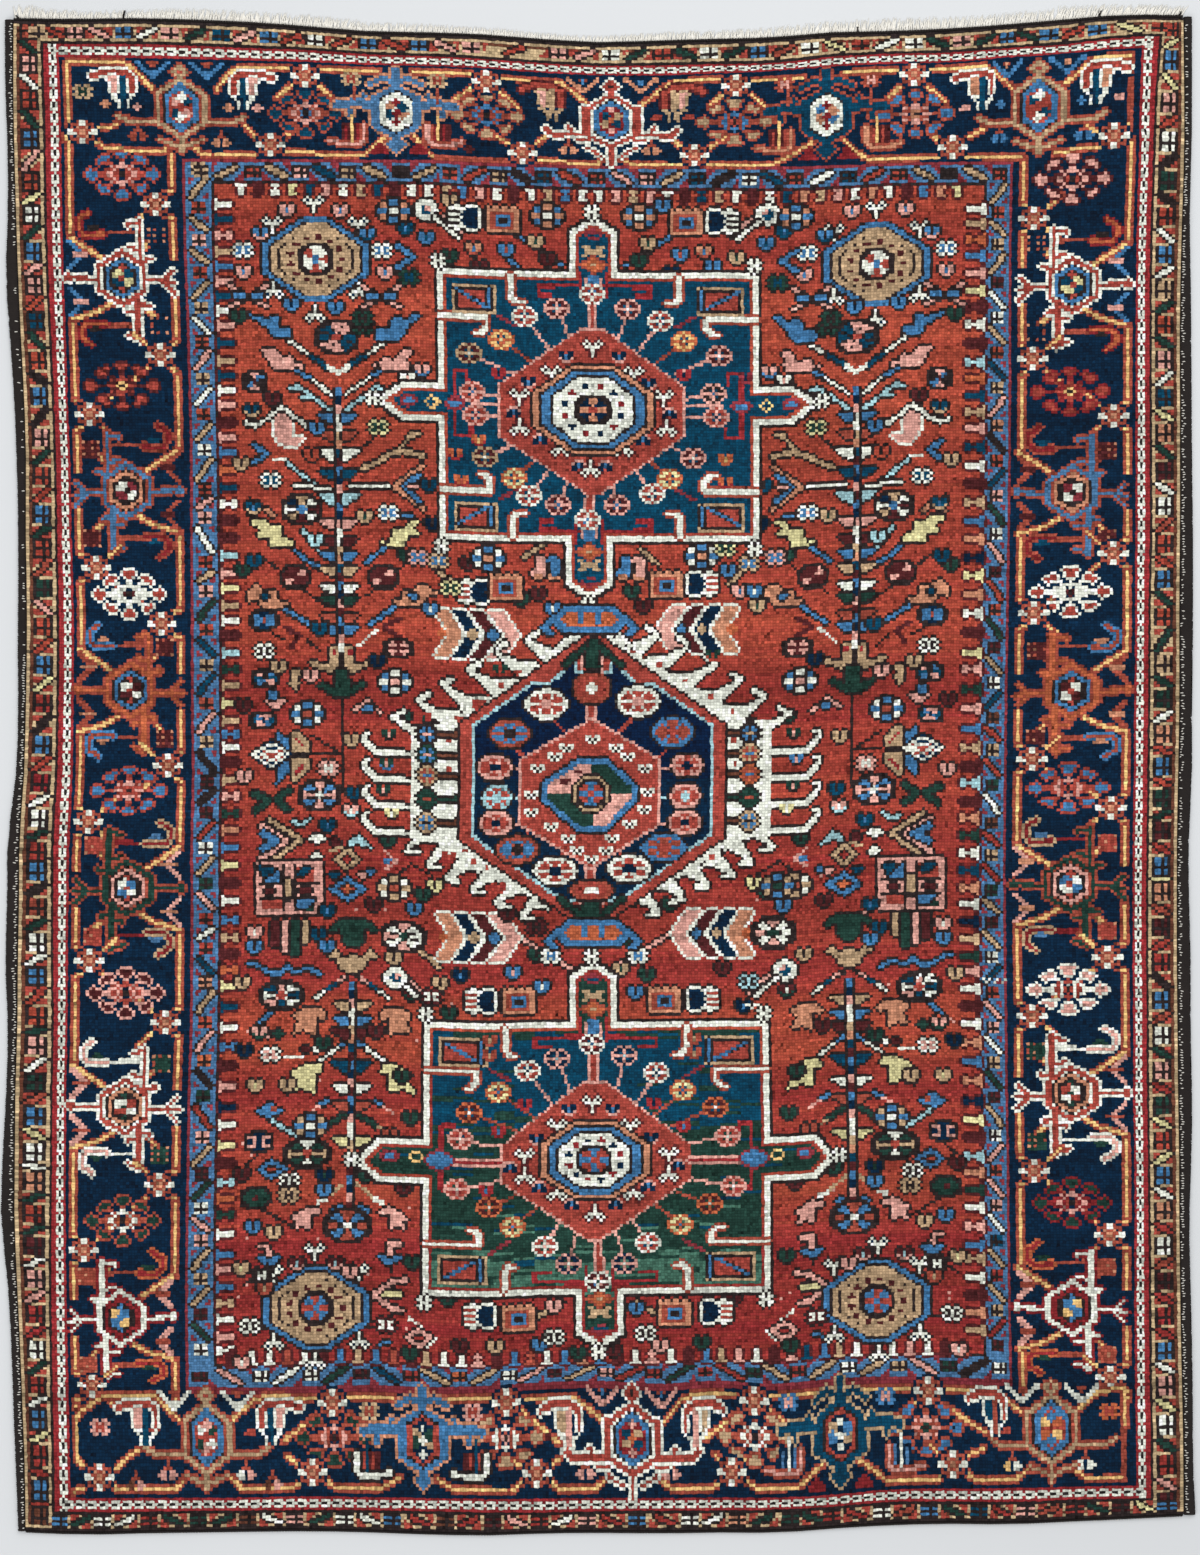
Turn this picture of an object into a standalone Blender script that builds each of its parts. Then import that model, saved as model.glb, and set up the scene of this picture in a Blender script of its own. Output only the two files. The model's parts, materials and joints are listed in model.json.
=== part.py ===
"""A hand-knotted Persian rug, lying flat.

The knotted carpet is one slab with wandering edges. A wool binding is overcast on each long side, a dark
cord closes each end, and the cut ends of the cotton warps stand out past the top cord as a short fringe.
"""

import random
from collections import namedtuple
from math import cos, pi, sin

import bmesh
import bpy
from mathutils import Vector

MM = 0.001

# Driving dimensions. Width and length are between the straight lines that the real edges wander about.
RUG_WIDTH = 1427 * MM
RUG_LENGTH = 1812 * MM
CARPET_THICKNESS = 7.5 * MM
PILE_UNEVENNESS = 0.7 * MM       # how far the pile's top rises and sinks
GAP = 0.3 * MM                   # between two pieces that touch
BINDING_HEIGHT = 7.0 * MM
END_CORD_WIDTH = 4.0 * MM
END_CORD_HEIGHT = 6.0 * MM
WEB_WIDTH = 2.0 * MM             # the strip of weft that holds the fringe's roots
WEB_HEIGHT = 3.0 * MM
STRAND_TAPER = 0.5               # a strand's tip against its root
STRAND_SHORTFALL = 0.12          # a strand is up to this share shorter than the fringe there
LEAN_SPREAD = 0.8 * MM

COLUMNS = 30                     # steps across the rug, shared by all pieces along an end
ROWS = 38                        # steps along the rug, shared by all pieces along a side
STRANDS_PER_COLUMN = 7

# Rows at even steps down the rug, in mm: how far each side's outer edge stands outside its straight line,
# and how wide the binding is there.
Side = namedtuple("Side", "left left_binding right right_binding")
SIDES = (
    Side(6.5, 11.0, 1.0, 10.5),
    Side(6.0, 10.0, 1.0, 9.5),
    Side(3.0, 8.5, 0.5, 9.0),
    Side(3.0, 10.5, -2.0, 9.0),
    Side(5.5, 15.5, -0.5, 12.5),
    Side(0.0, 13.5, 0.0, 14.0),
    Side(-5.0, 12.5, 0.5, 14.0),
    Side(-8.0, 11.5, 1.0, 14.5),
    Side(-9.5, 9.5, 2.0, 15.5),
    Side(-9.5, 11.0, 2.0, 16.5),
    Side(-9.0, 11.5, 2.0, 16.5),
    Side(-9.5, 9.5, 0.5, 15.0),
    Side(-6.5, 10.5, 1.0, 17.0),
    Side(3.5, 15.0, -3.5, 14.0),
    Side(4.0, 15.0, -2.5, 15.0),
    Side(6.0, 15.5, -0.5, 17.0),
    Side(3.0, 12.0, -1.0, 15.5),
    Side(5.0, 11.5, 1.0, 17.0),
    Side(9.0, 15.0, 0.5, 15.0),
    Side(11.5, 17.0, -2.5, 12.0),
    Side(3.5, 12.0, -1.0, 12.5),
    Side(-1.0, 11.0, 1.0, 13.5),
    Side(-3.5, 11.5, 2.0, 12.5),
    Side(-6.5, 11.5, 2.0, 11.5),
    Side(-9.5, 9.5, 6.0, 15.5),
)

# Rows at even steps from the left side to the right, in mm: how far each end stands outside its straight
# line, and the fringe's length and lean to the right at the top end.
End = namedtuple("End", "top bottom fringe lean")
ENDS = (
    End(13.5, 5.0, 19.0, -4.0),
    End(12.5, 7.5, 11.0, 0.0),
    End(13.5, 6.0, 11.0, 1.0),
    End(12.0, 5.0, 14.0, 2.0),
    End(9.0, 4.0, 14.0, 2.0),
    End(4.0, 3.5, 14.0, 1.0),
    End(-2.0, 5.0, 12.0, 1.0),
    End(-3.5, 7.5, 11.0, 1.0),
    End(-6.0, 8.5, 9.0, 1.0),
    End(-11.5, 6.0, 8.0, 0.0),
    End(-15.5, 5.5, 8.5, 0.0),
    End(-13.5, 6.0, 11.0, 1.0),
    End(-11.5, 5.0, 11.0, 1.0),
    End(-9.5, 5.0, 13.0, 2.0),
    End(-3.5, 0.0, 14.5, 2.0),
    End(-2.0, -4.0, 17.0, 3.0),
    End(1.0, -5.5, 15.0, 2.0),
    End(6.0, -5.0, 15.0, 3.0),
    End(12.0, -8.0, 18.0, 5.0),
    End(17.5, -11.0, 14.0, 6.0),
    End(17.0, -14.5, 11.0, 7.0),
)

Finish = namedtuple("Finish", "red green blue roughness")
FINISHES = {
    "madder_pile": Finish(0.36, 0.045, 0.03, 0.9),
    "dark_wool": Finish(0.02, 0.016, 0.014, 0.9),
    "warp_cotton": Finish(0.80, 0.77, 0.70, 0.85),
}


def smooth_reading(rows, column, share):
    """A column's value in metres, a share of the way down its rows, on a smooth curve through them all."""
    place = min(max(share, 0.0), 1.0) * (len(rows) - 1)
    row = min(int(place), len(rows) - 2)
    along = place - row
    before, start, end, after = (
        getattr(rows[min(max(row + step, 0), len(rows) - 1)], column) for step in (-1, 0, 1, 2))
    curve = (start + 0.5 * along * (end - before
             + along * (2 * before - 5 * start + 4 * end - after
             + along * (3 * (start - end) + after - before))))
    return curve * MM


def stepped_reading(rows, column, share, steps):
    """The same curve, followed in straight steps, so that neighbours with other steps still match."""
    place = min(max(share, 0.0), 1.0) * steps
    step = min(int(place), steps - 1)
    near = smooth_reading(rows, column, step / steps)
    far = smooth_reading(rows, column, (step + 1) / steps)
    return near + (far - near) * (place - step)


def top_line(across):
    """Height on the rug of the top end's outer edge, a share of the way across."""
    return RUG_LENGTH / 2 + stepped_reading(ENDS, "top", across, COLUMNS)


def bottom_line(across):
    return -RUG_LENGTH / 2 - stepped_reading(ENDS, "bottom", across, COLUMNS)


def side_line(side, y, inset):
    """Where a side's edge lies at a height on the rug: 0 is its outer face, 1 is the binding's inner face."""
    down = 0.5 - y / RUG_LENGTH
    outward = stepped_reading(SIDES, side, down, ROWS)
    binding = stepped_reading(SIDES, side + "_binding", down, ROWS)
    direction = -1 if side == "left" else 1
    return direction * (RUG_WIDTH / 2 + outward - inset * binding)


def inside_point(across, y):
    """A point on the rug between the two bindings, a share of the way across at a height on the rug."""
    left = side_line("left", y, 1) + GAP
    right = side_line("right", y, 1) - GAP
    return Vector((left + (right - left) * across, y, 0))


def row_heights(across):
    """Heights on the rug of the carpet's rows of points, from its top edge to its bottom edge."""
    top = top_line(across) - END_CORD_WIDTH - GAP
    bottom = bottom_line(across) + END_CORD_WIDTH + GAP
    return [top + (bottom - top) * row / ROWS for row in range(ROWS + 1)]


def pile_rise(x, y):
    """The worn pile's slow rises and dips."""
    return PILE_UNEVENNESS * (0.5 * sin(9 * x + 2) * cos(7 * y) + 0.3 * sin(23 * y + 5 * x)
                              + 0.2 * cos(31 * x - 17 * y))


def finish(name):
    """A material with a piece's colour and roughness."""
    look = FINISHES[name]
    material = bpy.data.materials.get(name) or bpy.data.materials.new(name)
    material.use_nodes = True
    shader = material.node_tree.nodes["Principled BSDF"]
    shader.inputs["Base Color"].default_value = (look.red, look.green, look.blue, 1)
    shader.inputs["Roughness"].default_value = look.roughness
    shader.inputs["Metallic"].default_value = 0
    return material


def piece(name, shape, finish_name):
    """An object made of a finished bmesh, with its faces turned outwards."""
    bmesh.ops.recalc_face_normals(shape, faces=shape.faces)
    mesh = bpy.data.meshes.new(name)
    shape.to_mesh(mesh)
    shape.free()
    mesh.materials.append(finish(finish_name))
    made = bpy.data.objects.new(name, mesh)
    bpy.context.collection.objects.link(made)
    return made


def swept(sections):
    """A closed bar that runs through a list of sections, each a loop of the same number of points."""
    shape = bmesh.new()
    cap = shape.faces.new([shape.verts.new(point) for point in sections[0]])
    for number, section in enumerate(sections[1:]):
        grown = bmesh.ops.extrude_face_region(shape, geom=[cap])["geom"]
        if number > 0:
            shape.faces.remove(cap)
        cap = next(part for part in grown if isinstance(part, bmesh.types.BMFace))
        for vert, point in zip(cap.verts, section):
            vert.co = point
    return shape


def rounded_profile(width, height):
    """A flat-bottomed section with a rounded back, as (out, up) steps from its inner bottom corner."""
    shoulder = 0.45 * height
    crown = [(width / 2 * (1 - cos(angle)), shoulder + (height - shoulder) * sin(angle))
             for angle in (0, pi / 4, pi / 2, 3 * pi / 4, pi)]
    return [(0, 0)] + crown + [(width, 0)]


def carpet():
    """The knotted cloth: a flat back and a slightly uneven pile, cut to the rug's wandering outline."""
    shape = bmesh.new()
    bmesh.ops.create_grid(shape, x_segments=COLUMNS, y_segments=ROWS, size=0.5)
    for vert in shape.verts:
        across = vert.co.x + 0.5
        row = round((0.5 - vert.co.y) * ROWS)
        point = inside_point(across, row_heights(across)[row])
        vert.co = point + Vector((0, 0, CARPET_THICKNESS + pile_rise(point.x, point.y)))
    rim = [edge for edge in shape.edges if edge.is_boundary]
    skirt = bmesh.ops.extrude_edge_only(shape, edges=rim)["geom"]
    for part in skirt:
        if isinstance(part, bmesh.types.BMVert):
            part.co.z = 0
    bmesh.ops.holes_fill(shape, edges=[edge for edge in shape.edges if edge.is_boundary])
    return piece("carpet", shape, "madder_pile")


def side_binding(side):
    """The dark wool overcast on a side, from one end of the rug to the other."""
    corner = 0 if side == "left" else 1
    heights = [top_line(corner)] + row_heights(corner) + [bottom_line(corner)]
    sections = []
    for y in heights:
        inner = side_line(side, y, 1)
        outer = side_line(side, y, 0)
        direction = 1 if outer > inner else -1
        profile = rounded_profile(abs(outer - inner), BINDING_HEIGHT)
        sections.append([Vector((inner + direction * out, y, up)) for out, up in profile])
    return piece("binding_" + side, swept(sections), "dark_wool")


def end_cord(end, line, outward):
    """The dark cord that closes an end of the rug, between the two side bindings."""
    profile = rounded_profile(END_CORD_WIDTH, END_CORD_HEIGHT)
    sections = []
    for column in range(COLUMNS + 1):
        across = column / COLUMNS
        inner = line(across) - outward * END_CORD_WIDTH
        sections.append([inside_point(across, inner + outward * out) + Vector((0, 0, up))
                         for out, up in profile])
    return piece("end_cord_" + end, swept(sections), "dark_wool")


def fringe():
    """The top end's cut warps: a narrow web along the end cord, with a flat strand out of each second step."""
    steps = COLUMNS * STRANDS_PER_COLUMN * 2 + 1
    sections = []
    for step in range(steps + 1):
        across = step / steps
        inner = top_line(across) + GAP
        corners = ((0, 0), (0, WEB_HEIGHT), (WEB_WIDTH, WEB_HEIGHT), (WEB_WIDTH, 0))
        sections.append([inside_point(across, inner) + Vector((0, out, up)) for out, up in corners])
    shape = swept(sections)
    bmesh.ops.recalc_face_normals(shape, faces=shape.faces)
    outer_faces = sorted((face for face in shape.faces if face.normal.y > 0.9),
                         key=lambda face: face.calc_center_median().x)
    strands = bmesh.ops.extrude_discrete_faces(shape, faces=outer_faces[1::2])["faces"]
    chance = random.Random(11)
    for tip in sorted(strands, key=lambda face: face.calc_center_median().x):
        root = tip.calc_center_median()
        across = root.x / RUG_WIDTH + 0.5
        length = smooth_reading(ENDS, "fringe", across) - WEB_WIDTH
        reach = length * chance.uniform(1 - STRAND_SHORTFALL, 1)
        lean = smooth_reading(ENDS, "lean", across) + LEAN_SPREAD * chance.uniform(-1, 1)
        for vert in tip.verts:
            vert.co.x = root.x + (vert.co.x - root.x) * STRAND_TAPER + lean
            vert.co.y = root.y + reach
            vert.co.z *= STRAND_TAPER
    return piece("fringe_top", shape, "warp_cotton")


def centre_on_origin(pieces):
    """Moves every piece's mesh alike, so that the middle of the whole rug's footprint is the origin."""
    points = [vert.co for made in pieces for vert in made.data.vertices]
    middle_x = (min(point.x for point in points) + max(point.x for point in points)) / 2
    middle_y = (min(point.y for point in points) + max(point.y for point in points)) / 2
    for made in pieces:
        for vert in made.data.vertices:
            vert.co -= Vector((middle_x, middle_y, 0))


def build():
    for old in list(bpy.data.objects):
        bpy.data.objects.remove(old, do_unlink=True)
    centre_on_origin([
        carpet(),
        side_binding("left"),
        side_binding("right"),
        end_cord("top", top_line, 1),
        end_cord("bottom", bottom_line, -1),
        fringe(),
    ])


build()
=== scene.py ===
"""Looks of a hand-knotted Persian rug with three medallions, lying flat and seen from straight above.

The pattern is a chart of knots, painted motif by motif in code. Each knot of the pile is one face with its
wool's colour. Overcast sides, twisted end cords and a cut fringe go round the pile. Lengths are in metres;
the chart's places are in knots, in columns from the left and rows from the top end.
"""

import json
import random
from collections import namedtuple
from itertools import groupby
from math import cos, pi, sin, tau

import bmesh
import bpy
import numpy as np
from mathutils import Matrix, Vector

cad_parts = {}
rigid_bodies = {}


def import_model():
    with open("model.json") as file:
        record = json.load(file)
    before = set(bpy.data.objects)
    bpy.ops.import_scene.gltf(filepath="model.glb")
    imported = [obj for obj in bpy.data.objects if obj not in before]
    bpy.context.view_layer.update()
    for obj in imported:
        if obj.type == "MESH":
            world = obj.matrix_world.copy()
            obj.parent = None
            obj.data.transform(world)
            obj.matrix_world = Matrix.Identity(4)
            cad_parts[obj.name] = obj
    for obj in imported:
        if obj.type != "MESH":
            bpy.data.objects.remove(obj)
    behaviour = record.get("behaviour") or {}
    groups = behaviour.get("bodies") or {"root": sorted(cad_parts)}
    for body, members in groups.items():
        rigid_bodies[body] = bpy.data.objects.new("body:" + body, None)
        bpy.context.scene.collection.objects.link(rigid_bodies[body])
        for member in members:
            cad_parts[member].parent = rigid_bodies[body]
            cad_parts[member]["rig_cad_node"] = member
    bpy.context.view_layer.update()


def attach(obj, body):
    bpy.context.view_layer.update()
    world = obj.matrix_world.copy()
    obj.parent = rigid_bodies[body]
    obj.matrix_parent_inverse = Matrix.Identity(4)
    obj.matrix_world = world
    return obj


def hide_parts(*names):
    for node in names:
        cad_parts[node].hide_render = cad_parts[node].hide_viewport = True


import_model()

MM = 0.001
PHOTO_SIZE = (1200, 1555)        # the photograph, in pixels
PIXEL = 1.2095 * MM              # one pixel of it on the rug

COLUMNS, ROWS = 394, 508         # knots across and along the rug

# ---------------------------------------------------------------------------------------------------------
# Wools, as they look in the photograph (red, green, blue, 0 to 255), each with its letter in the tables.

WOOLS = {
    "madder": ("d", (157, 57, 45)), "bright_red": ("e", (156, 66, 56)), "stripe_red": ("s", (146, 44, 48)),
    "crimson": ("c", (125, 36, 40)), "dull_red": ("q", (128, 48, 56)), "maroon": ("m", (76, 32, 34)),
    "rust": ("r", (150, 70, 56)), "orange": ("o", (178, 93, 61)), "peach": ("h", (186, 128, 100)),
    "pink": ("p", (208, 152, 140)), "gold": ("a", (226, 184, 120)), "yellow": ("y", (206, 198, 146)),
    "tan": ("n", (174, 146, 114)), "ivory": ("i", (224, 227, 214)), "black": ("k", (42, 34, 34)),
    "navy": ("v", (6, 33, 56)), "midnight": ("x", (4, 27, 56)), "teal": ("t", (5, 61, 86)),
    "blue": ("b", (62, 112, 156)), "guard_blue": ("u", (70, 111, 150)), "pale_blue": ("l", (150, 188, 194)),
    "dark_green": ("g", (30, 58, 50)), "light_green": ("f", (68, 108, 92)), "brown": ("w", (98, 58, 44)),
    "straw": ("z", (184, 160, 124)),
}
NUMBER = {name: number for number, name in enumerate(WOOLS)}
LETTER = {letter: name for name, (letter, colour) in WOOLS.items()}


def listed(words):
    """Places with their wools out of a line such as "62i 67t", one (number, wool) for each word."""
    return [(float(word[:-1]), LETTER[word[-1]]) for word in words.split()]


def entries(text):
    """The words and numbers of each entry in a table whose entries are parted by bars."""
    return [[float(word) if word[0] in "-0123456789" else word for word in entry.split()]
            for entry in text.split("|")]


def figures(text):
    """Motif, place and wools of each entry, and x if it's mirrored. An entry that names no motif has that of
    the one before it, and one wool alone goes round a black middle."""
    for entry in entries(text):
        motif = entry.pop(0) if isinstance(entry[0], str) else motif
        x, y, wools, *mirrored = entry
        yield motif, x, y, wools if len(wools) > 1 else wools + "k" + wools, mirrored


# ---------------------------------------------------------------------------------------------------------
# The chart and the pen that paints it.

knots = np.full((ROWS, COLUMNS), NUMBER["tan"], dtype=np.int16)


def grown(mask, corners=False):
    """A mask with the knots beside it added."""
    wide = mask.copy()
    wide[1:] |= mask[:-1]
    wide[:-1] |= mask[1:]
    tall = wide if corners else mask
    wide = wide.copy()
    wide[:, 1:] |= tall[:, :-1]
    wide[:, :-1] |= tall[:, 1:]
    return wide


def lay(wool, mask, edge=None):
    """Ties a mask's knots in a wool, with a line of another wool round them."""
    if edge:
        knots[grown(mask) & ~mask] = NUMBER[edge]
    knots[mask] = NUMBER[wool]


class Pen:
    """A place on the chart, with the way that a motif faces there: mirrored, or turned on its side."""

    def __init__(self, x=0.0, y=0.0, flip_x=1, flip_y=1, turned=False):
        self.x, self.y, self.flip_x, self.flip_y, self.turned = x, y, flip_x, flip_y, turned

    def at(self, u, v):
        if self.turned:
            u, v = v, u
        return self.x + self.flip_x * u, self.y + self.flip_y * v

    def masked(self, points, margin, inside):
        """The knots near some points for which inside(x, y) holds."""
        xs, ys = [x for x, y in points], [y for x, y in points]
        left, right = max(int(min(xs) - margin) - 1, 0), min(int(max(xs) + margin) + 2, COLUMNS)
        top, bottom = max(int(min(ys) - margin) - 1, 0), min(int(max(ys) + margin) + 2, ROWS)
        mask = np.zeros((ROWS, COLUMNS), dtype=bool)
        if left < right and top < bottom:
            x, y = np.meshgrid(np.arange(left, right) + 0.49, np.arange(top, bottom) + 0.49)
            mask[top:bottom, left:right] = inside(x, y)
        return mask

    def box(self, u0, v0, u1, v1):
        (x0, y0), (x1, y1) = self.at(u0, v0), self.at(u1, v1)
        x0, x1, y0, y1 = min(x0, x1), max(x0, x1), min(y0, y1), max(y0, y1)
        return self.masked([(x0, y0), (x1, y1)], 0,
                           lambda x, y: (x >= x0) & (x < x1) & (y >= y0) & (y < y1))

    def oval(self, u, v, reach_u, reach_v):
        x0, y0 = self.at(u, v)
        rx, ry = (reach_v, reach_u) if self.turned else (reach_u, reach_v)
        return self.masked([(x0, y0)], max(rx, ry),
                           lambda x, y: ((x - x0) / rx) ** 2 + ((y - y0) / ry) ** 2 <= 1)

    def diamond(self, u, v, reach_u, reach_v):
        x0, y0 = self.at(u, v)
        rx, ry = (reach_v, reach_u) if self.turned else (reach_u, reach_v)
        return self.masked([(x0, y0)], max(rx, ry),
                           lambda x, y: abs(x - x0) / rx + abs(y - y0) / ry <= 1)

    def line(self, *points, width=1.0):
        """A run of straight strokes through the points."""
        places = [self.at(u, v) for u, v in points]

        def inside(x, y):
            near = np.zeros(x.shape, dtype=bool)
            for (x0, y0), (x1, y1) in zip(places, places[1:]):
                length = max((x1 - x0) ** 2 + (y1 - y0) ** 2, 1e-9)
                along = np.clip(((x - x0) * (x1 - x0) + (y - y0) * (y1 - y0)) / length, 0, 1)
                off = (x - x0 - along * (x1 - x0)) ** 2 + (y - y0 - along * (y1 - y0)) ** 2
                near |= off < (width / 2) ** 2
            return near

        return self.masked(places, width, inside)

    def ring(self, *points, width=1.0):
        """Strokes through the points and back to the first."""
        return self.line(*points, points[0], width=width)

    def area(self, *points):
        """All that lies inside the points' outline."""
        places = [self.at(u, v) for u, v in points]

        def inside(x, y):
            odd = np.zeros(x.shape, dtype=bool)
            for (x0, y0), (x1, y1) in zip(places, places[1:] + places[:1]):
                if y0 != y1:
                    crosses = ((y0 > y) != (y1 > y)) & (x < (x1 - x0) * (y - y0) / (y1 - y0) + x0)
                    odd ^= crosses
            return odd

        return self.masked(places, 0, inside)

    def stamp(self, motif, u, v, wools, edge="black", flip_u=1):
        """Ties a small charted motif with its middle at a place. Its signs 1 to 9 stand for the wools."""
        rows = MOTIFS[motif]
        signs = np.array([[int(sign) if sign.isdigit() else 0 for sign in row] for row in rows])
        signs = signs[::1 if self.flip_y > 0 else -1, ::flip_u if self.flip_x > 0 else -flip_u]
        x, y = self.at(u, v)
        tall, wide = signs.shape
        left, top = round(x - wide / 2 - 0.01), round(y - tall / 2 - 0.01)
        cut_left, cut_top = max(-left, 0), max(-top, 0)
        signs = signs[cut_top:max(ROWS - top, 0), cut_left:max(COLUMNS - left, 0)]
        left, top = left + cut_left, top + cut_top
        placed = np.zeros((ROWS, COLUMNS), dtype=np.int16)
        placed[top:top + signs.shape[0], left:left + signs.shape[1]] = signs
        if edge:
            knots[grown(placed > 0) & (placed == 0)] = NUMBER[edge]
        for sign, letter in enumerate(wools, start=1):
            knots[placed == sign] = NUMBER[LETTER[letter]]

    def stamp_all(self, text, edge="black"):
        for motif, x, y, wools, mirrored in figures(text):
            self.stamp(motif, x, y, wools, edge, flip_u=-1 if mirrored else 1)


COPIES = {"lr": ((1, 1), (-1, 1)), "ud": ((1, 1), (1, -1)), "all": ((1, 1), (-1, 1), (1, -1), (-1, -1)),
          "turn": ((1, 1), (-1, -1))}


def draw(pen, strokes, wools=""):
    """Ties a motif written as strokes. A line has the strokes' kind, the mirrored copies they have, their wool
    with that of their outline, the width of lines that aren't 1 wide, and their places, with a slash from one
    stroke to the next. Ovals and diamonds have a place and a reach. A digit stands for one of the wools handed
    in, and lines in the same wools that follow each other grow together."""
    lines = [line.split() for line in strokes.replace("\n/", " /").strip().splitlines()]
    for tied, alike in groupby(lines, key=lambda words: words[2 if words[1] in COPIES else 1]):
        mask = np.zeros((ROWS, COLUMNS), dtype=bool)
        for kind, *words in alike:
            copies = COPIES[words.pop(0)] if words[0] in COPIES else ((1, 1),)
            width = {"width": float(words.pop(1))} if "," not in words[1] else {}
            for places in " ".join(words[1:]).split("/"):
                spots = [tuple(map(float, place.split(","))) for place in places.split()]
                for flip_u, flip_v in copies:
                    turned = [(u * flip_u, v * flip_v) for u, v in spots]
                    if kind in ("oval", "diamond", "box"):
                        turned = [*turned[0], *(turned if kind == "box" else spots)[1]]
                    mask |= getattr(pen, kind)(*turned, **width)
        tones = [LETTER[wools["123456789:".index(sign)] if sign in "123456789:" else sign] for sign in tied]
        lay(tones[0], mask, *tones[1:])


page = Pen()

# Small charted motifs, row by row from the top. A sign after half a chart adds its other half: - turns over
# the rows above the last one, and = turns over the last one too.
MOTIFS = {}
for name, *chart in map(str.split, """
star ...1221... .11122111. .1.3113.1. 2211331122 2221331222 .1.3113.1. .11122111. ...1221...
comb ..22..2222. 22222211112 33332111112 22221111112 333321111.2 -
house 1.11.11.11. 11111111111 12222222211 12233333211 12234443211 12234443211 12233333211 12222222211 11111111111
table ..111.222. ..11122222 ..111..222 ..111..222 .1111..222 11111..222 13331.3222 .333..3333
blossom .11.11. 1121211 .12221. -
balls .1...1. 121.121 .11111. ...1... ...1... ...1...
bloom ..11211.. .1221221. 122.1.221 111131111 -
heart 11.11 11211 31213 .333.
wings 11.11 12121 .121.
posy ..222.. .21212. 2112112 .23332. -
starlet .1.1. 11211 .111. -
blocks ...42224... .114222411. 41144444114 22243334222 =
quatrefoil .11.11. 1221221 .12321. -
triple ...2... ...2... ..222.. .11.33. 111.333 .11.33.
""".strip().splitlines()):
    turned_from = {"-": -3, "=": -2}.get(chart[-1])
    MOTIFS[name] = chart[:-1] + chart[turned_from::-1] if turned_from else chart


# ---------------------------------------------------------------------------------------------------------
# Bands, from the outer edge inwards: the wool, and the first and last knots across and along.

BANDS = """black 0 0 394 508|straw 0 1 394 507|brown 1 2 393 506|straw 2 3 392 505|black 9 7 385 502|
stripe_red 10 8 384 501|navy 16 13 378 496|dull_red 56 47 338 466|guard_blue 57 48 337 464|
black 66 54 328 456|madder 67 55 327 455"""
CHAIN = ("121", "121", "111", ".1.")


def bands():
    for wool, left, top, right, bottom in entries(BANDS):
        lay(wool, page.box(left, top, right, bottom))


def chain():
    """White links with dark eyes down the middle of the red stripe."""
    for first, last, near, far in ((8, 501, 12, 381), (13, 381, 9, 499)):
        for place in range(first, last):
            for step in range(3):
                for line, turn in ((near + step, place), (far - step, place + 2)):
                    sign = CHAIN[turn % 4][step]
                    if sign != ".":
                        spot = (place, line) if near > first else (line, place)
                        knots[spot] = NUMBER["ivory" if sign == "1" else "black"]


def gold_line(pen, *points, width=2.7):
    """A gold line with brick edges."""
    lay("rust", pen.line(*points, width=width))
    lay("gold", pen.line(*points, width=0.98))


# Squares of four petals on the guards, with slashes and small triangles between them.
TAN_LEFT = """3.5r 15.5p 27.5d 40.5b 54.5d 65.5i 78b 89.5p 101.5t 115d 127b 141p 154d 167b 178.5d 192g
205d 218b 231d 245b 258c 270i 281d 288b 300r 312i 323.5b 337d 347p 359.5g 371b 383i 393h 404d 415m 426p
438d 450i 463d 473.5b 484d 494b 503w"""
TAN_RIGHT = """5d 17b 30p 42i 54g 66d 79b 91n 103d 115p 128t 140h 153m 165i 178d 190b 203d 219n 231g 243h
254b 265g 276m 288b 297h 309m 321d 334b 346i 358p 370g 382d 394b 406h 418i 430m 442d 454b 466p 478i 490d
502m"""
TAN_TOP = """8n 21.6p 37.7b 53p 70t 86b 101.5i 119.5b 136.5b 154p 183.5p 200.8i 218.4d 234i 250.6b 268i
285d 303i 319p 335.6b 349b 364b 384d"""
TAN_BOTTOM = """12b 27i 43d 60g 77w 93p 110i 126b 144w 160m 176d 192p 209b 227i 243h 261g 275d 292i 308b
325t 342p 358d 373m 389b"""
BLUE_LEFT = """50n 63d 74p 85d 97n 108.5d 121n 133d 145i 158.5d 168p 183d 193p 206d 218n 231r 244n 257.5m
268m 280i 292g 304d 314d 325.5h 339d 352o 364g 378p 390.5m 402i 413p 426n 438m 450i"""
BLUE_RIGHT = """51p 64d 75n 88m 100i 112d 124n 137h 149d 161p 174i 187m 200d 213m 225i 237w 248n 260g
273w 284n 296g 307m 319i 331d 343p 355n 367m 380i 392d 404p 416t 428d 440n 452m"""
BLUE_TOP = """62.5n 80d 96p 112n 130k 146.5d 163n 178t 196d 213p 230t 247.5i 263d 281t 298d 315k 333d"""
BLUE_BOTTOM = """61m 82i 99i 116m 133d 149o 166i 181.5m 199p 215d 232.5d 249g 264d 281i 298n 315g 333i"""


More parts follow.
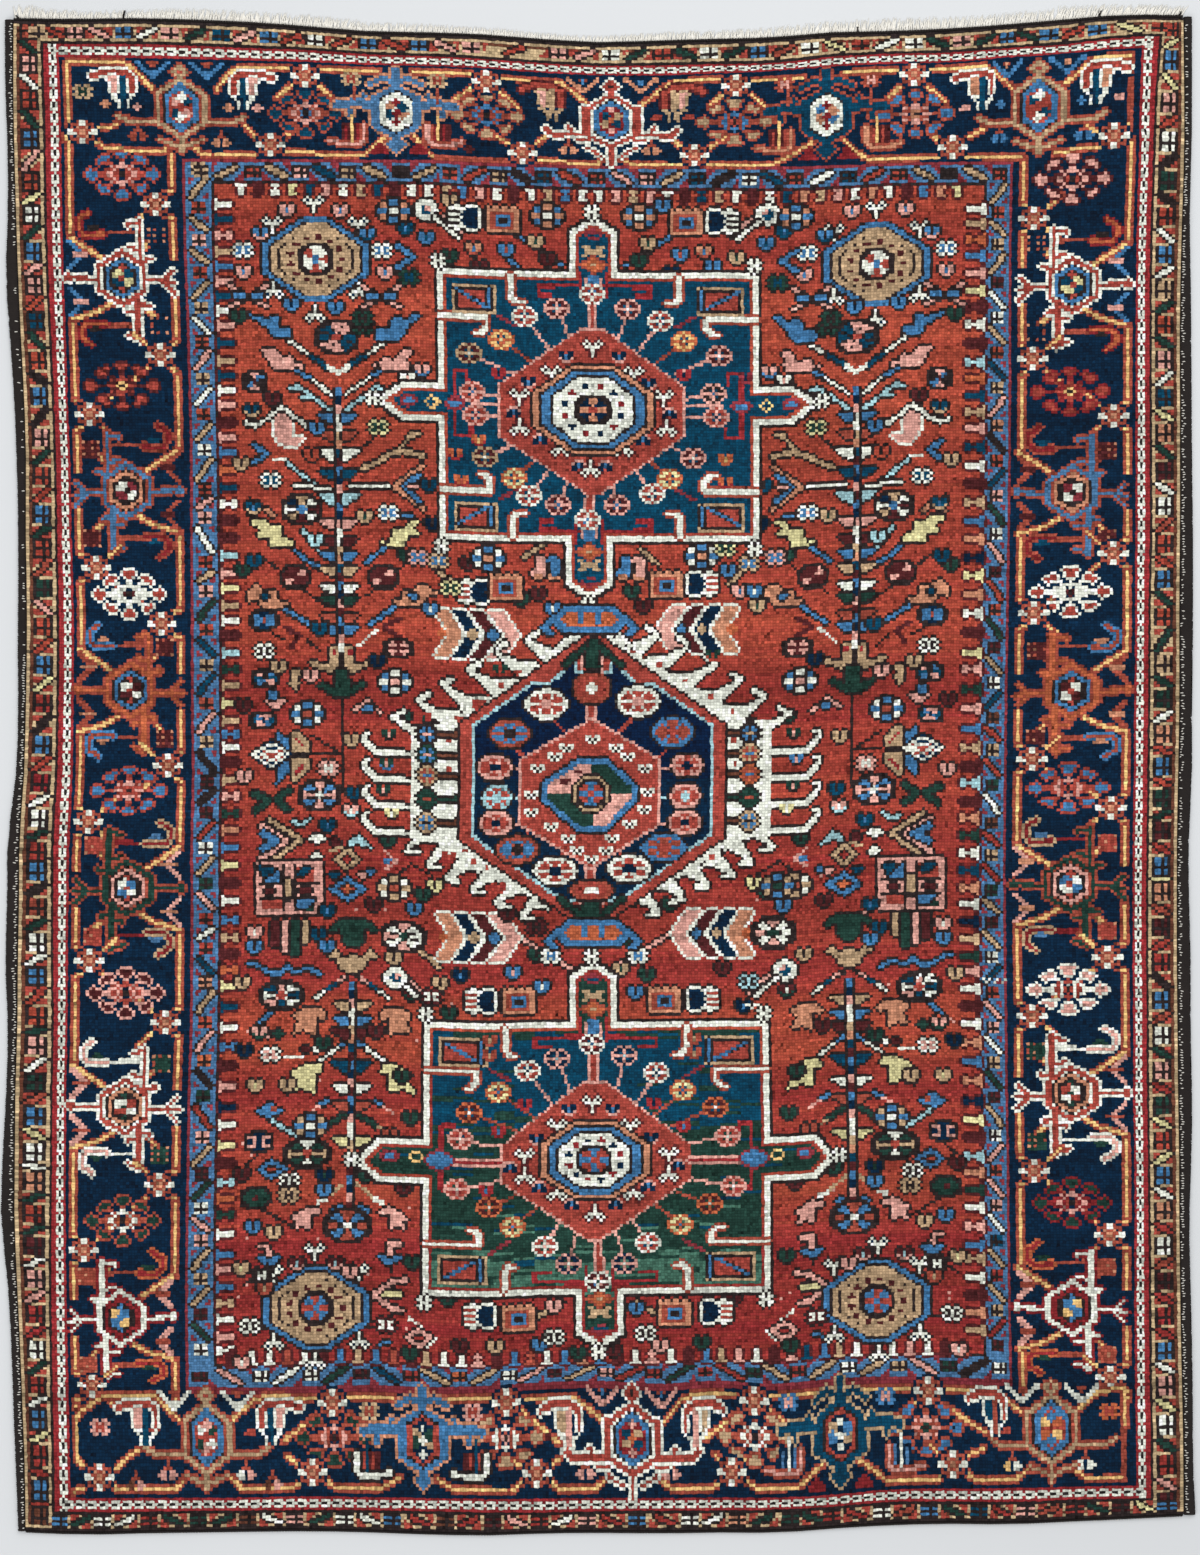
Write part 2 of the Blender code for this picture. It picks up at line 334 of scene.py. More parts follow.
def guard_run(spots, pen_at, half, reach, square, triangle, slash_wools, chance):
    """A guard's squares of four petals along a line of spots, with a slash and two triangles in each gap."""
    places = listed(spots)
    for (start, _), (end, _) in zip(places, places[1:]):
        pen = pen_at((start + end) / 2)
        lean = chance.choice((-1, -1, 1))
        room = (end - start) / 2 - reach
        for side, way in ((half, -lean), (-half, lean)):
            inner = side - triangle * side / half
            lay("dull_red" if triangle < 3.3 else "bright_red",
                pen.area((side, way * (room - 0.6)), (side, way * (room - triangle)),
                         (inner, way * (room - 0.6))))
        slash, run = LETTER[chance.choice(slash_wools)], min(room - 1, half + 0.6)
        lay(slash, pen.line((0.9 - half, -lean * run), (half - 0.9, lean * run), width=1.5), edge="black")
    for place, wool in places:
        pen = pen_at(place)
        lay("black", pen.box(-square, -reach, square, reach))
        for u in (-1, 1):
            for v in (-1, 1):
                lay(wool, pen.box(u * 0.5, v * 0.5, u * (square - 0.5), v * (reach - 0.5)))


def guards():
    chance = random.Random(5)
    # Half a square's reach along and across the guard, a triangle's size and the slashes' wools.
    tan, blue = (3.2, 2.9, 3.6, "ygdkgidpgr"), (2.3, 2.7, 3.0, "innpdkgnpt")
    for spots, half, look, pen_at in (
            (TAN_LEFT, 3.0, tan, lambda v: Pen(5.0, v)),
            (TAN_RIGHT, 3.0, tan, lambda v: Pen(389.0, v, flip_x=-1)),
            (TAN_TOP, 2.2, (3.2, 2.2) + tan[2:], lambda u: Pen(u, 4.0, turned=True)),
            (TAN_BOTTOM, 2.2, (3.2, 2.2) + tan[2:], lambda u: Pen(u, 504.4, turned=True)),
            (BLUE_LEFT, 3.7, blue, lambda v: Pen(61.3, v)),
            (BLUE_RIGHT, 3.7, blue, lambda v: Pen(332.7, v, flip_x=-1)),
            (BLUE_TOP, 2.6, (2.7, 2.0) + blue[2:], lambda u: Pen(u, 51.0, turned=True)),
            (BLUE_BOTTOM, 3.6, (2.8, 2.3) + blue[2:], lambda u: Pen(u, 460.0, turned=True))):
        guard_run(spots, pen_at, half, *look, chance)


# ---------------------------------------------------------------------------------------------------------
# The main border: turtles, rosettes, stars and palmettes between the two gold lines.

# Wools of a rosette: petals, their outline, the ring and the heart.
ROSETTE = """
line all 2 1.2 2,-2 5.4,-4.6
line lr 2 1.2 4,0 9,0
line ud 2 1.2 0,-2 0,-5
area ud 12 -2.2,-7.6 2.2,-8 1.2,-5.4 -1,-5
area all 12 4.2,-6.2 6.4,-6 8.4,-4.3 7.6,-3.4 5.2,-3.8
area lr 12 8.4,-0.8 10,-1.8 12.2,-1 12.2,1 10,1.8 8.4,0.8
oval all 3 2.6,-1.8 1.5,1.2
oval lr 3 3.7,0 1.4,1
oval ud 3 0,-2.7 1.4,1.1
line all 2 0.8 1.2,-1 3.4,-3.6 / 1.4,-0.6 5.2,-1.6
oval 4 0,0 1.9,1.5
oval k 0,0 1,0.8
"""

# Wools of a turtle: body, its edge, ring, two of the flower's quarters, the other two, its ends, arm, leaf,
# the leaf's outline, its heart, and the boxes. The first number across runs towards the bracket.
TURTLE = """
line 7 1.4 6,-15.5 -7,-15.2 / 5,16 -7,15.8
line 89 1.2 -6,-15 -12.6,-14.8 -14.4,-17 -14.4,-20 -10.6,-22.4
/ -6,15.4 -12.6,15.2 -14.4,17.2 -14.4,20 -10.6,22.6
oval ud : -9.5,-17.2 2.4,0.9
line 12 1.7 6,-19.5 6,-6 / 4.8,6 4.8,21
line 12 1.2 6,-19 1.8,-18 / 5.5,-9.5 1.8,-10.8 / 4.6,11 1,11.5 / 4.6,20.5 1,19.3 / 8,0.8 13,0.8
/ -8,0.3 -17,-0.2
line 12 1.4 6,-5.5 9.6,-6.5 / 4.6,8.5 8.3,9.5
line 12 1.1 13,0.8 17,-2.8 / 13,0.8 17.5,1.2 / 13,1 17,5
oval 12 -18,-0.2 1.5,1.5
ring 12 1.5 0,-9 7.2,-4 7.2,4 0,9 -7.8,4 -7.8,-4
area k 0,-7.4 5.9,-3.5 5.9,3.5 0,7.4 -6.4,3.5 -6.4,-3.5 / 0,-5.4 3.8,-2.4 3.8,2.4 0,5.4 -4.3,2.4 -4.3,-2.4
ring 3 1.25 0,-6.2 4.7,-3 4.7,3 0,6.2 -5.2,3 -5.2,-3
area 4 -3,-2.4 0,-3.2 0,0 -3.2,0 / 3,2.4 0,3.2 0,0 3.1,0
area 5 3,-2.4 0,-3.2 0,0 3.1,0 / -3,2.4 0,3.2 0,0 -3.2,0
diamond ud 6 -0.2,-3.6 1.3,1.3
oval 6 -0.2,0 1,1
"""
TURTLES = {"A": "eibyterock", "B": "urhqikrcrt", "C": "orbimerrbh", "D": "grpbieccnu", "E": "eihiegipig",
           "F": "iccbabrsog"}
BOXES = {"A": "v", "B": "m", "C": "m", "D": "e", "E": "g", "F": "r"}

# Down each side: a motif's sort, its place across and along, and its wools.
LEFT_BORDER = """R 36 52 bepe|S 47 62|T 35.5 87 A|S 47 113.5|R 34 123.5 emea|S 23 133.5|T 34.5 159 B|
S 24 185|R 35 194 eiim|S 46.5 204|T 35.5 226.5 C|S 47.8 252.5|R 35 260.5 bepe|S 22 271|T 35 293.5 D|
S 23 318.5|R 35 329 mpee|S 48 339|T 35.5 367.5 E|S 47.5 394|R 35 406 grio|S 22.5 416|T 34 439 F|
S 24 463"""
RIGHT_BORDER = """R 357 53 pmpe|S 345 66|T 357.5 89 A|S 345 114.5|R 357 125.5 ecea|S 370.7 134|
T 358 160 B|S 370.7 181|R 357.5 194 eiim|S 346 201.5|T 358 228 C|S 346 251|R 357.5 261 bepe|S 371 268|
T 358.5 294 D|S 370.3 319|R 357.5 330 piee|S 346 339|T 358 365.5 E|S 346 392|R 358 403 gcpe|S 370.5 414|
T 358 439 F|S 370 463"""

# Gold lines round a turtle, and the small chevrons beside its stub.
TURTLE_VINE = """
line r 2.6 -17.5,-14 -6.5,-6.6 / -17.5,14 -9,11.5 -3,8 / 5.5,-8.5 9.5,-12.5 / 6,9 10.5,13.5
line a 1.2 -17.5,-14 -6.5,-6.6 / -17.5,14 -9,11.5 -3,8 / 5.5,-8.5 9.5,-12.5 / 6,9 10.5,13.5
line ud 1 1.5 -17.5,-12.5 -13,-8 -17.5,-3.5
line ud 2 1.2 -16.5,-8 -12,-8
"""
DOTTED_BOX = """
box 1 -3,-3 3,3
oval all h 2.4,-2.4 0.55,0.55
oval h 0,0 0.55,0.55
oval lr r 2.4,0 0.55,0.55
oval ud r 0,-2.4 0.55,0.55
"""


def side_border(text, outer, inner):
    """The motifs down one side, between the gold lines at two columns."""
    spots = [(sort, x, y, "".join(look)) for sort, x, y, *look in entries(text)]
    inward = 1 if inner > outer else -1
    lines = {outer: (41, 470), inner: (45.5, 467.5)}
    for column, (top, bottom) in lines.items():
        gold_line(page, (column, top), (column, bottom))
    for sort, x, y, look in spots:
        near = min(lines, key=lambda column: abs(column - x))
        away = inward if near == outer else -inward
        if sort == "S":
            lay("navy", page.box(near - 2, y - 5, near + 2, y + 5))
            for way in (-1, 1):
                gold_line(page, (near, y + way * 5), (x, y + way * 2))
                gold_line(page, (x + away * 3, y + way * 2.5), (x + away * 9, y + way * 8), width=2.2)
        if sort == "T":
            facing = inward if look in "ACE" else -inward
            pen = Pen(x, y, flip_x=facing)
            for column, reach in ((outer, 13), (inner, 6)) if facing == inward else ((outer, 6), (inner, 13)):
                lay("navy", page.box(column - 2, y - reach, column + 2, y + reach))
            draw(pen, TURTLE_VINE, {"A": "bp", "B": "rm", "C": "rh", "D": "ph", "E": "pr", "F": "pr"}[look])
            draw(pen, TURTLE, TURTLES[look])
            for v in (-14.5, 16):
                draw(Pen(*pen.at(11.3, v)), DOTTED_BOX, BOXES[look])
    for sort, x, y, look in spots:
        if sort == "R":
            draw(Pen(x, y), ROSETTE, look)
        elif sort == "S":
            page.stamp("star", x, y, "rih", edge="navy")


# The gold lines of the two ends, each a run of places.
END_LINES = """17,41 18.5,36 18.5,14.5 37,14.5 41,17 47,23.5|68,23.5 72,18 75.5,15.5 94,15.5|
102,15.5 123,15.5|134,15.5 155,15.5|163,16 184,16.5 193,24|210,25 214,22 221,16 240,15.5|248,16 266,16|
279,16 300,15|307,16 326,15 332,19 340,25|353,24 358,20 363,16 375,15.5 375,20|375,23 375,41|
28,37 33,36 38,33|27,40.5 30,43 37,44 50,44.5 52,42|60,42 62,45 66,46 80,45.5 84,44|77,35 83,41.5|
90,40 95,36|90,44.5 112,45.5 118,45 126,37.5|134,38 138,43 141,46 167,46|160,36 168,41|174,41 180,35.5|
176,45.5 196,46.5 198,44|204,44.5 208,46.5 226,47|220,36 226,41|233,41 240,36|
233,46.5 256,46 262,43 270,38|279,38 284,43 288,45.5 312,45|308,37 313,41|319,40 327,36|320,45 341,45.5|
351,44.5 366,43|361,36 366,40|373,39 375,36|88,26 95,20|101,20 107,25|148,25 155,20|162,20 170,27|
234,25 240,20|247,20 254,27|294,25 300,20|306,20 314,27|
54,474 49,469.5 45,466.5 28,466.5 20,471 18,474 18,485 24,489|29,491 32,493.5 52,493.5 56,490|
30,489 36,484 40,482|17,494.5 23,492|71,474 80,467.5 84,466.5 101,467.5|110,467.5 127,467.5|
103,471 89,480|109,471 121,478|143,467.5 160,467.5|162,471 152,477|169,471 176,476 183,481|
170,468 188,468.5 198,475|217,476 224,469 228,467.5 244,468|246,471 232,480|253,471 264,478|
254,468 272,467|285,467 303,467.5|304,471 295,477|311,471 328,480|313,467.5 331,467 343,475|
358,474 366,467.5 374,466.5 374.5,478|374,480 374,493.5 364,494 361,493 357,490|
70,489 75,493.5 92,493.5 96,491|90,484 96,488|102,487 106,485|103,491 107,493.5 122,493.5 129,490|
141,490.5 147,493.5 166,494 171,491|166,485 172,488|178,488 183,485|179,491 183,493.5 195,493.5 199,490|
217,491 221,493.5 234,493.5 238,491|235,484 239,487|244,487 250,483|
245,491 250,493.5 264,493 268,490 273,486.5|283,486 289,490 294,493.5 311,493.5 314,491|308,483 313,487|
320,487 327,484|320,491 324,493.5 339,493.5 344,489.5"""
END_STARS = """23.5 38|86 42.5|98 18|159 18|171.5 43|229.5 43|243.5 18.5|303 17.5|316.5 42.5|370 40.5|
26 490|99.5 489|106.5 469|165.5 469.5|175 489.5|241.5 489|249.5 469|308 468.5|316.5 489.5"""

# Wools: frame, its edge, two quarters, the other two, and the crosses.
PALMETTE = """
line lr 12 1.1 8,5 14,5.4 19,4.4 21.5,2.6
line 12 1.2 0,10 0,15.5
line lr 12 0,14 3.5,12.5 7.5,11
ring 12 1.4 0,-9.6 7.8,-4.6 8,5 0,10.2 -7.8,5 -7.8,-4.6
diamond 12 0,-12.3 3.4,2.4
area k 0,-9 6.2,-4 6.2,4.6 0,9 -6.2,4.6 -6.2,-4
area b 0,-8.6 5.5,-4 5.5,4.4 0,8.4 -5.5,4.4 -5.5,-4
diamond e 0,-12.3 1,1
area e 0,-6.2 4,-3 4,3 0,6.2 -4,3 -4,-3
oval e 0,0 1.2,1
oval turn 3 -1.9,-2 1.6,1.7
oval turn 4 1.9,-2 1.6,1.7
line 5 0,-5 0,-2 / -0.3,5 -0.3,2
line 5 1.2 -1.2,-3.4 1.6,-3.6 / -1.6,3.6 1.2,3.4
"""

# Wools: frame, its edge, the ring inside, its ground, two quarters, the other two, and the crosses.
ARMED_PALMETTE = """
area 12 0,-9.4 8.2,-5 8.8,5.4 0,10.6 -8.8,5.4 -8.2,-5
line 12 2.2 0,-9 0,-14.6
line lr 12 1.8 0,-9.6 4.4,-11.8 8.6,-9.4
line lr 12 2.8 8,-2 14,-2.8 20,-1.8
line lr 12 1.5 12,-2.8 10.6,-5.4 / 16,-2 15.4,1.6
diamond 12 0,12 3.4,3.4
area k 0,-7.6 5.8,-4.2 5.8,5 0,8.6 -5.8,5 -5.8,-4.2
area 3 0,-6.8 5.2,-3.8 5.2,4.6 0,7.8 -5.2,4.6 -5.2,-3.8
area 4 0,-5.6 4,-3 3.8,3.8 0,6.8 -3.8,3.8 -4,-3
oval turn 5 -2.4,-1.2 1.6,1.9
oval turn 6 2.4,-1.2 1.6,1.9
diamond 7 0,0.6 1.7,1.5 / 0,-3 1.4,1.4 / 0,4.2 1.4,1.4
"""

BAND_TURTLE = """
line lr ei 1.7 9,5.4 20,5.8 22.5,3.4
line lr ei 1.1 13,5 14.5,3 / 3.2,13.4 8,10.4
line lr ei 7.5,7.5 12,8
diamond ei 0,-12.6 3,3
line ei 1.6 0,10 0,16.2
ring ei 1.5 0,-9.4 8.4,-4 8.4,5.4 0,9.8 -8.4,5.4 -8.4,-4
line lr ei 2.6 8.4,-4 8.4,5
diamond k 0,-12.6 1,1
area k 0,-8 6,-4 6,4.8 0,8 -6,4.8 -6.2,-3.8
area b 0,-7.4 5.6,-3.6 5.6,4.4 0,7.6 -5.6,4.4 -5.6,-3.6
area c 0,-5.6 4,-3 4,3.4 0,5.8 -4,3.4 -4.2,-2.8
oval turn t -1.9,-1.5 1.5,1.5
oval turn n 2.1,-1.5 1.5,1.4
diamond ud p 0,-4 2,1.5
diamond o 0,0 2,1.3
"""

# A hooked leaf's wools: cap, its edge, heart, its edge, stem and the stem's stripes.
HOOKED_LEAF = """
line 12 1.9 -9,-2.8 -5,-4.4 1,-4.4 4,-2.4 4,2.2
area 34 -3.6,-2.6 -1,-3 -1,3.4 -3.2,2.6
line 5 1.7 0.8,-2.6 0.6,7
line 6 1.1 -3,3.8 -0.8,5.4 -0.8,7.8 / 4.4,3.8 2.2,5.4 2.2,7.8
"""
HOOKED_LEAVES = """36 22 1 eipiti|78 22 -1 eipiti|180 22.5 1 empnnn|223 22.5 -1 empnnn|325.5 22 1 eihiti|
365 22 -1 eihiti|41.5 473 1 eipiti|86 473 -1 eipiti|185.5 474.5 1 einipi|229.5 474.5 -1 einipi|
330.5 472.5 1 eitiri"""

# A cup's wools: body, stripes, rim and its edge, and the gold staff.
CUP = """
box 1 -3.6,-4 3.2,2.6
line 2 1.1 -1.6,-3 -1.6,2.6 / 1.9,-3 1.9,2.6
line 34 1.5 4,-3 4,1.6 2,3.6 -3,3.6 -7.6,2.2
line 5 1.1 0.2,-6.6 0.2,2
"""
CUPS = """113.5 38 1 mcpra|143 38 -1 mcpra|257.5 38 1 mehra|291 38 -1 mehra|118 486.5 -1 meikt|
154 486.5 1 meikt|260.5 486 1 vupri|298.5 487 -1 vupri"""
END_ROSETTES = """98 31 trpu|159 30 nrbe|242.5 31 nrbe|303.5 30.5 brph|106.5 479 grpm|164.5 479 nrip|
249 479 nrip|307 478.5 brpg"""
NOTCH = """
line 1 1.6 -5,-2.6 0,2 5,-2.6
area r -2,-3 2,-3 0,-0.8
oval 2 0,-1.4 1,1
"""
NOTCHES = """47 17 br|65 17 br|191.5 17.5 hb|211 17.5 hb|335.5 17.5 bh|355 17.5 bh|52 468 ir|74 468 ir|
197.5 468.5 pb|217.5 468.5 pb|341 468.5 ir|360.5 468.5 ir"""
# Small flowers on the navy: charted motif, place and wools.
END_FLOWERS = """blossom 24 25 ngm|114 19 nei|143 19 nei|260 19 rpi|289 19 rpi|27 476 pep|119 472 nrn|
154 472 pee|261 470 bpb|294 470 bpb|370 474 oeo|triple 42 38 rrr|70 40 hrh|187 40 hrh|215 40 hrh|
333 38 brb|361 38 brb|50 488 prp|77 488 irp|192 488 prp|221 488 prp|338 488 ari|362 488 iri|39 491 wrp|
86 491 wrp"""
END_SPECKS = """h 31 28.5|p 41.5 29.5|h 72 29.5|p 82 29.5|e 216 29|e 227 29|p 320 29|b 333 28.5|
b 359.5 28.5|p 371.5 28|e 335 479|m 345 479|m 178 479|e 45 476|e 78 477|m 153 42.5"""


def end_borders():
    for run in END_LINES.split("|"):
        gold_line(page, *[tuple(float(number) for number in place.split(",")) for place in run.split()])
    for x, y, wools in entries(NOTCHES):
        draw(Pen(x, y), NOTCH, wools)
    for x in (123, 136, 267.5, 280.5):
        lay("crimson", page.area((x - 3.6, 45), (x, 40), (x + 3.6, 45)))
    for x in (270, 286):
        lay("crimson", page.area((x - 3.4, 494.5), (x, 490), (x + 3.4, 494.5)))
    for letter, x, y in entries(END_SPECKS):
        lay(LETTER[letter], page.oval(x, y, 1.7, 1.1))
    page.stamp_all(END_FLOWERS, edge=None)
    for x, y, wools in entries(END_ROSETTES):
        draw(Pen(x, y), ROSETTE, wools)
    for x, y, wools in entries("56 29.5 nrpti|346 29.5 nrtei|63 478.5 nrigp|350.5 478.5 nraob"):
        draw(Pen(x, y), PALMETTE, wools)
    for x, y, wools in entries("128.5 29.5 uhiihtc|273.5 29.5 triibhc|136.5 479 bhevngi|278 479 tnevnbi"):
        draw(Pen(x, y), ARMED_PALMETTE, wools)
    for x in (114, 142.5, 260, 288.5):
        lay("rust", page.line((x, 21), (x, 26)))
    draw(Pen(201, 30), BAND_TURTLE)
    draw(Pen(207.5, 479.5), BAND_TURTLE)
    for motif, places in ((HOOKED_LEAF, HOOKED_LEAVES), (CUP, CUPS)):
        for x, y, way, wools in entries(places):
            draw(Pen(x, y, flip_x=way), motif, wools)
    for x, y in entries(END_STARS):
        page.stamp("star", x, y, "rih", edge="navy")


# ---------------------------------------------------------------------------------------------------------
# The field's edges.

LEFT_KEYHOLES = """62i 67t 72.5p 78n 83b 88p 93t 98i 103p 109t 115n 120t 125i 130p 136m 141p 146b 152o
158t 163.5i 169m 175m 181l 187p 192y 198n 203i 208m 214l 219.5g 225n 231y 237n 241.5b 246i 251m 257n
262.5p 268.5g 274h 280b 286y 292m 298i 304.5b 310.5n 316m 321.5o 327y 334t 341i 347.5b 354m 361p 368v
374i 381y 387m 393.5l 399o 404.5g 411i 418b 423p 429b 434.5n 440i 446p 450.5i"""
RIGHT_KEYHOLES = """63i 68n 73.5o 79b 85p 91y 96.5m 102.5i 109m 115.5l 121o 127t 132.5n 138p 144.5t 151i
157m 163.5n 170b 176h 182.5v 188.5y 195h 201.5i 208m 215y 220.5p 227.5g 234p 241b 247.5n 254m 259.5l 266m
271.5h 277.5g 283.5i 289.5t 295.5h 301i 307v 313n 319g 324p 330i 336m 342i 348.5h 355b 361.5h 368.5v 375y
381m 387.5l 393h 399g 405i 411.5p 418b 422.5n 429i 435m 441h 447n"""
TOP_GOBLETS = "imiytpintmiinbpiminbiipnpimtnimithnpihimbhy"
BOTTOM_STEPS = """72m 79i 85i 91r 97i 103m 109b 115n 121b 127r 133m 138n 144i 150i 155.5p 162m 168b
173.5r 179i 185b 191h 197b 203m 209i 214.5p 221i 227m 233b 238n 244p 250i 256m 262p 267t 273b 278n 284i
290m 296i 302p 308i 314m 320r"""


def edge_figure(pen, wool, neck):
    """A keyhole figure that stands on the field's edge, with its round head inwards."""
    shape = pen.area((-0.5, -2.1), (-0.5, 2.1), (neck, 0.5), (neck, -0.5))
    lay(wool, shape | pen.oval(neck + 1.0, 0, 1.2, 1.4), edge="maroon")


def field_edges():
    for spots, edge, way in ((LEFT_KEYHOLES, 67, 1), (RIGHT_KEYHOLES, 327, -1)):
        for place, wool in listed(spots):
            edge_figure(Pen(edge, place, flip_x=way), wool, 3.8)
    for step, letter in enumerate(TOP_GOBLETS):
        edge_figure(Pen(76 + step * 5.76, 55, turned=True), LETTER[letter], 2.2)
    for place, wool in listed(BOTTOM_STEPS):
        edge_figure(Pen(place, 455, flip_y=-1, turned=True), wool, 1.4)


# ---------------------------------------------------------------------------------------------------------
# The two square medallions.

Medallion = namedtuple("Medallion", """middle left right top bottom neck_left neck_right neck_top tip foot_left
                       foot_right foot_bottom foot_middle foot_tip arm_top arm_bottom arm_left arm_right
                       tip_left tip_right tip_row""")
UPPER = Medallion(195, 143, 250, 84, 174, 188, 202, 70, 65, 186, 200, 189, 193, 194, 123, 134, 130, 262, 122,
                  270, 128)
LOWER = Medallion(195, 138, 254, 340, 431, 188, 202, 324, 319, 190, 204, 445, 197, 449, 380, 393, 122, 270, 115,
                  276, 387)


def medallion_outline(m):
    neck = ((m.left, m.top), (m.neck_left, m.top), (m.neck_left, m.neck_top), (m.middle, m.tip),
            (m.neck_right, m.neck_top), (m.neck_right, m.top), (m.right, m.top))
    foot = ((m.right, m.bottom), (m.foot_right, m.bottom), (m.foot_right, m.foot_bottom),
            (m.foot_middle, m.foot_tip), (m.foot_left, m.foot_bottom), (m.foot_left, m.bottom),
            (m.left, m.bottom))
    right_arm = ((m.right, m.arm_top), (m.arm_right, m.arm_top), (m.tip_right, m.tip_row),
                 (m.arm_right, m.arm_bottom), (m.right, m.arm_bottom))
    left_arm = ((m.left, m.arm_bottom), (m.arm_left, m.arm_bottom), (m.tip_left, m.tip_row),
                (m.arm_left, m.arm_top), (m.left, m.arm_top))
    return neck + right_arm + foot + left_arm


def white_line(outline, width=1.9):
    """An ivory line round an area, with red inside it and a dark line outside it."""
    inside = page.area(*outline)
    rim = page.ring(*outline, width=width)
    beside = grown(rim, corners=True) & ~rim
    lay("madder", beside & inside)
    lay("black", beside & ~inside)
    lay("ivory", rim)


# One side of a square medallion: the ivory hooks, the corner boxes, the crossbar and the red hooks. The
# numbers across run outwards from the middle. Wools: the box's bar and its ground.
MEDALLION_SIDE = """
line ir 1.9 29.5,-45 29.5,-38 28,-36 / 29.5,44 29.5,38 28,36 / 55,-30.5 38.5,-30.5 38.5,-27 40,-25.5
/ 55,28.5 37.5,28.5 37.5,25 39,23.5
line ir 28,-36 25,-36 / 28,36 25,36 / 40,-25 42.5,-25 / 39,23 42,23
box ud n 35,-42 51,-32
box ud k 36,-41 50,-33
box ud 2 37,-40 49,-34
line ud 1k 37,-40.5 37,-33.5
line ud k 1.6 38.5,-34 49.5,-40
line ud 1 38.5,-34 49.5,-40
line ud s 1.4 4,-42 19.5,-41.5 19.5,-38.5 14.6,-38.5
line s 1.6 50,-12 50,10
line s 1.4 50,-12 46,-12 45.4,-8 / 50,10 44.4,10 44.4,7.4
line p 31,-0.8 44,-0.8
line ud q 1.2 34.5,-31.4 28,-27.6
oval q 50,-0.8 3.6,2.4 / 67,-1.2 3.2,2.2
oval b 50,-0.8 2.4,1.2 / 67,-1.2 1.8,1
ring a 0.9 56,-1 58.4,-3 60.8,-1 58.4,1
"""

UPPER_FLOWERS = """194.5 91 ies|183 95.5 pmi|207 95.5 pmi|172 99 ies|218 99.5 ies|164 106.5 oay|
226 106.5 oay|152.5 111.5 nmi|237.5 111.5 pmi|154 125 peb|154.5 133 pes|236 125 pkb|236.5 133 pev|
158 146.5 nmi|229 146.5 pmi|167.5 153.5 oya|220.5 153.5 oya|173 159.5 ies|214.5 158.5 ies|182.5 163 pmb|
203 162.5 pmb|193 167.5 ieb"""
LOWER_FLOWERS = """195 347 imb|183 351.5 pvl|206 351 pvl|172.5 356 iev|217 356.5 iev|163 363 oyb|
226 363 oyb|153 369.5 omi|236.5 368.5 omi|150 379 pei|148.5 395.5 pei|241 378.5 pei|243 396 pei|
160 401.5 omi|235 402 omi|168 408.5 oyb|225 408.5 oyb|178.5 416 iep|213.5 415 iep|186.5 422 pvi|
206 422 pvi|197 427.5 img"""
UPPER_TREFOILS = """195 109 w|186 112 d|204 112 d|181 118 w|209 118 w|173 121 d|214 121 d|170 126 w|
219 126 w|168 131 d|221 131 d|170 136 w|220 136 w|177 140 d|212 140 d|184 143 w|205 143 w|190 149 d|
199 149 d|194 150 w"""
LOWER_TREFOILS = """195 367 w|187 369 d|202 369 d|183 375 w|208 375 w|176 379 d|215 379 d|172 385 w|
221 385 w|167 388 d|224 388 d|172 391 w|221 391 w|177 395 d|214 395 d|183 397 w|209 397 w|188 401 d|
203 401 d|196 404 w"""


def round_flower(x, y, rim, spots, heart, reach_x, reach_y):
    """A round flower: a pale rim, a ring of dark spots and a heart."""
    pen = Pen(x, y)
    lay(rim, pen.oval(0, 0, reach_x, reach_y), edge="black")
    lay(spots, pen.oval(0, 0, reach_x * 0.82, reach_y * 0.76))
    for number in range(6):
        angle = tau * number / 6
        lay(rim, pen.line((0, 0), (reach_x * cos(angle), reach_y * sin(angle)), width=0.9))
    lay(heart, pen.oval(0, 0, reach_x * 0.3, reach_y * 0.36))


def stemmed_flowers(middle, text):
    """Round flowers on thin stems that lead to the red hexagon."""
    flowers = entries(text)
    for x, y, wools in flowers:
        reach = 0.36 if abs(x - middle[0]) > 4 else 0.3
        end = (x + (middle[0] - x) * reach, y + (middle[1] - y) * reach)
        if abs(x - middle[0]) < 4:
            lay("bright_red", page.line((x, y), end, width=1.6), edge="pink")
        else:
            lay("pink" if wools[0] != "o" else "rust", page.line((x, y), end, width=1.0))
    for x, y, wools in flowers:
        page.stamp("bloom", x, y, wools, edge=None)


